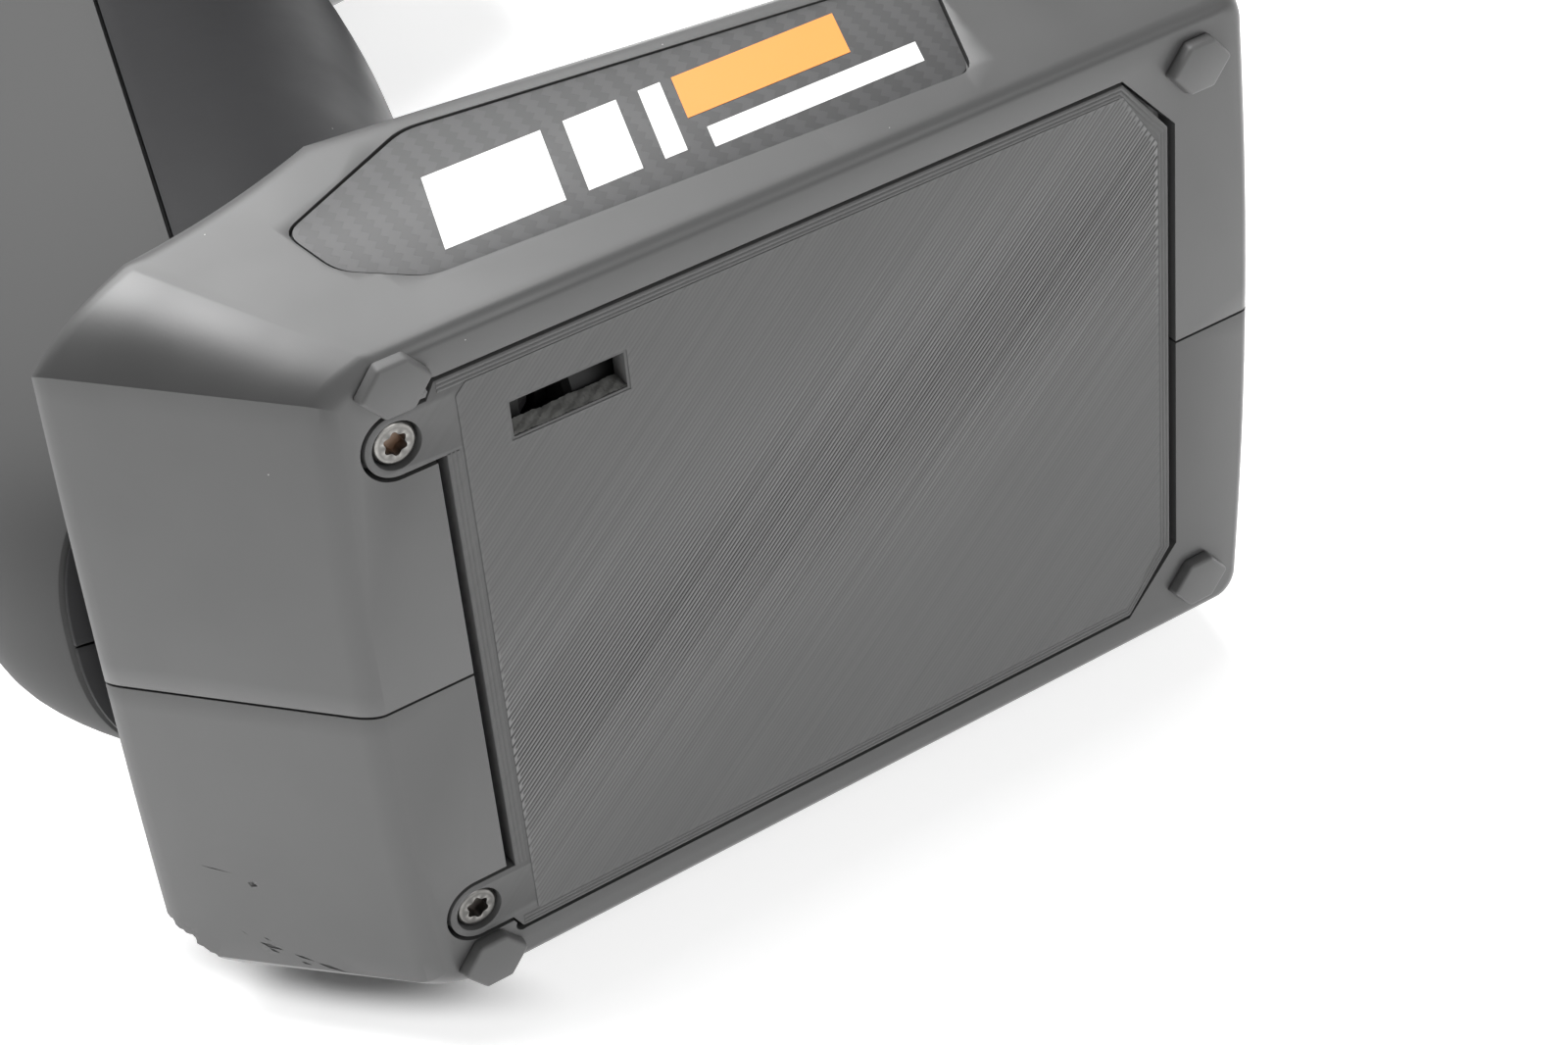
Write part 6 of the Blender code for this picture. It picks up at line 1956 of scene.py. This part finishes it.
@dataclass
class Studio:
    """Pale table and floor, soft light and the camera of the photograph."""

    camera_place: Triple = (0.205781, -0.097865, -0.230)
    right: Triple = (-0.0732, 0.8257, -0.5594)
    up: Triple = (0.7907, 0.3899, 0.4720)
    forward: Triple = (-0.6078, 0.4078, 0.6814)
    lens: float = 77.35
    film: float = 36.0
    clip_start: float = 0.005
    world_light: float = 0.20
    sheet_size: float = 1.5
    sheet_white: float = 0.86
    sheet_roughness: float = 0.8
    table_gap: float = 0.0010
    table_height: float = 0.05
    table_glow: float = 0.64
    table_light: float = 1.20
    floor_gap: float = 0.0002
    # Place, turn, half length and half width of the painted contact shadow below the lower left corner,
    # where the table's own light is dimmed, and the share of it over which the light comes back.
    painted_shadow_place: Pair = (-0.0090, 0.0168)
    painted_shadow_turn: float = -48.6
    painted_shadow_size: Pair = (0.026, 0.0065)
    painted_shadow_fade: float = 0.8
    card_place: Triple = (0.22, -0.55, -0.10)
    card_facing: Triple = (-0.3, 1.0, 0.2)
    card_size: float = 0.42
    # Name, place, width and power of each lamp, all aimed at one target.
    lamps: tuple[tuple[str, Triple, float, float], ...] = (
        ("softbox_above", (0.68, 0.02, 0.34), 0.70, 9.0),
        ("softbox_corner", (0.66, -0.21, 0.20), 0.22, 1.7),
        ("softbox_front", (0.50, 0.25, -0.62), 0.40, 1.6),
        ("softbox_top", (-0.1, 0.5, 0.9), 0.6, 3.0))
    target: Triple = (0.0, 0.04, 0.05)

    def camera(self) -> None:
        """Set the camera by its fitted place and axes."""
        data = bpy.data.cameras.new("camera")
        data.lens = self.lens
        data.sensor_width = self.film
        data.sensor_fit = "HORIZONTAL"
        data.clip_start = self.clip_start
        item = linked("camera", data)
        item.matrix_world = axes_frame(self.right, self.up, np.negative(self.forward),
                                       ORIGIN + self.camera_place)
        bpy.context.scene.camera = item

    def world(self) -> None:
        """White for the eye and for mirrors, plain grey light for everything else."""
        world = bpy.data.worlds.new("studio")
        bpy.context.scene.world = world
        board = Board(world)
        rays = board.add("LightPath").outputs
        seen = board.math("MAXIMUM", rays["Is Camera Ray"], rays["Is Glossy Ray"])
        seen = board.math("MAXIMUM", seen, rays["Is Transmission Ray"])
        board.join(board.ramp(seen, (0.0, 1.0), (self.world_light, 1.0)), "Strength", "Background")
        board.tree.nodes["Background"].inputs["Color"].default_value = (1.0, 1.0, 1.0, 1.0)

    def panel(self, name: str, centre: Sequence[float], facing: Sequence[float], size: float,
              material: bpy.types.Material) -> Item:
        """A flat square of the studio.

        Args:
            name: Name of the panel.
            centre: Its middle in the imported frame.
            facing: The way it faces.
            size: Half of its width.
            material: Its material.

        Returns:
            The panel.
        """
        normal = Vector(facing).normalized()
        across = normal.orthogonal().normalized() * size
        along = normal.cross(across)
        mesh = bpy.data.meshes.new(name)
        spread = np.array(((-1, -1), (1, -1), (1, 1), (-1, 1))) @ np.array((across, along))
        mesh.from_pydata((spread + np.array(centre)).tolist(), [], [(0, 1, 2, 3)])
        mesh.materials.append(material)
        item = linked(name, mesh)
        return item

    def white(self, name: str, x: float) -> bpy.types.Material:
        """White that glows, clear from behind; its glow is dimmed in a spot that paints a contact
        shadow.

        Args:
            name: Name of the material.
            x: Place of the painted contact shadow across the table.

        Returns:
            The material.
        """
        board = Board(bpy.data.materials.new(name))
        board.shader.inputs["Base Color"].default_value = (*[self.sheet_white] * 3, 1.0)
        board.shader.inputs["Roughness"].default_value = self.sheet_roughness
        level = board.ramp(board.add("LightPath").outputs["Is Camera Ray"], (0.0, 1.0),
                           (self.table_light, self.table_glow))
        # Painted contact shadow: the glow falls to nothing in a soft spot below the lower left corner.
        spot = board.add("Mapping", vector_type="TEXTURE", Vector=board.places(),
                         Location=(x, *ORIGIN[1:] + self.painted_shadow_place),
                         Rotation=(math.radians(self.painted_shadow_turn), 0.0, 0.0),
                         Scale=(1.0, *self.painted_shadow_size))
        shade = board.add("TexGradient", gradient_type="SPHERICAL", Vector=spot.outputs[0])
        left = board.add("MapRange", interpolation_type="SMOOTHSTEP", Value=shade.outputs["Fac"],
                         From_Max=self.painted_shadow_fade, To_Min=1.0, To_Max=0.0)
        glow = board.add("Emission", Strength=board.math("MULTIPLY", level, left.outputs[0]))
        front = board.add("AddShader", i0=board.shader.outputs[0], i1=glow.outputs[0])
        sheet = board.add("MixShader", i0=board.add("NewGeometry").outputs["Backfacing"],
                          i1=front.outputs[0], i2=board.add("BsdfTransparent").outputs[0])
        board.join(sheet.outputs[0], "Surface", "Material Output")
        return board.owner

    def surroundings(self) -> None:
        """Set the table beside the object, the floor that only the camera sees, and the dark card."""
        side = CAD_BOX[0][0] - self.table_gap
        self.panel("table", (side, 0.0, self.table_height), (1.0, 0.0, 0.0), self.sheet_size,
                   self.white("table_white", side))
        floor = self.panel("floor", (0.0, 0.0, -self.floor_gap), (0.0, 0.0, 1.0), self.sheet_size,
                           self.white("floor_white", 0.0))
        floor.visible_shadow = floor.visible_diffuse = floor.visible_glossy = False
        card = self.panel("dark_card", ORIGIN + self.card_place, self.card_facing, self.card_size,
                          CARD.material())
        card.visible_camera = card.visible_diffuse = False
        card.visible_shadow = card.visible_transmission = False

    def lamp(self, name: str, place: Triple, size: float, power: float) -> None:
        """A square soft lamp aimed at the target.

        Args:
            name: Name of the lamp.
            place: Its place in the casing's axes.
            size: Its width.
            power: Its power in watts.
        """
        data = bpy.data.lights.new(name, "AREA")
        data.size = size
        data.energy = power
        item = linked(name, data)
        item.location = ORIGIN + place
        aim = Vector(self.target) - Vector(place)
        item.rotation_euler = aim.to_track_quat("-Z", "Y").to_euler()
        item.visible_camera = False

    def build(self) -> None:
        """Set view, camera, world, surroundings and lamps."""
        bpy.context.scene.view_settings.view_transform = "Standard"
        self.camera()
        self.world()
        self.surroundings()
        for row in self.lamps:
            self.lamp(*row)


def main() -> None:
    """Build every sub-assembly in order."""
    logging.basicConfig(level=logging.INFO, format="%(message)s")
    casing, cover, handle = BaseCasing(), BatteryCover(), Handle()
    label = LabelPlate(casing)
    InnerWorks().build()
    casing.build(cover, handle, label)
    label.build()
    cover.build()
    Feet().build()
    handle.build()
    Head().build(handle)
    Steering().build()
    Controls().build()
    Studio().build()
    bpy.context.view_layer.update()


if __name__ == "__main__":
    main()
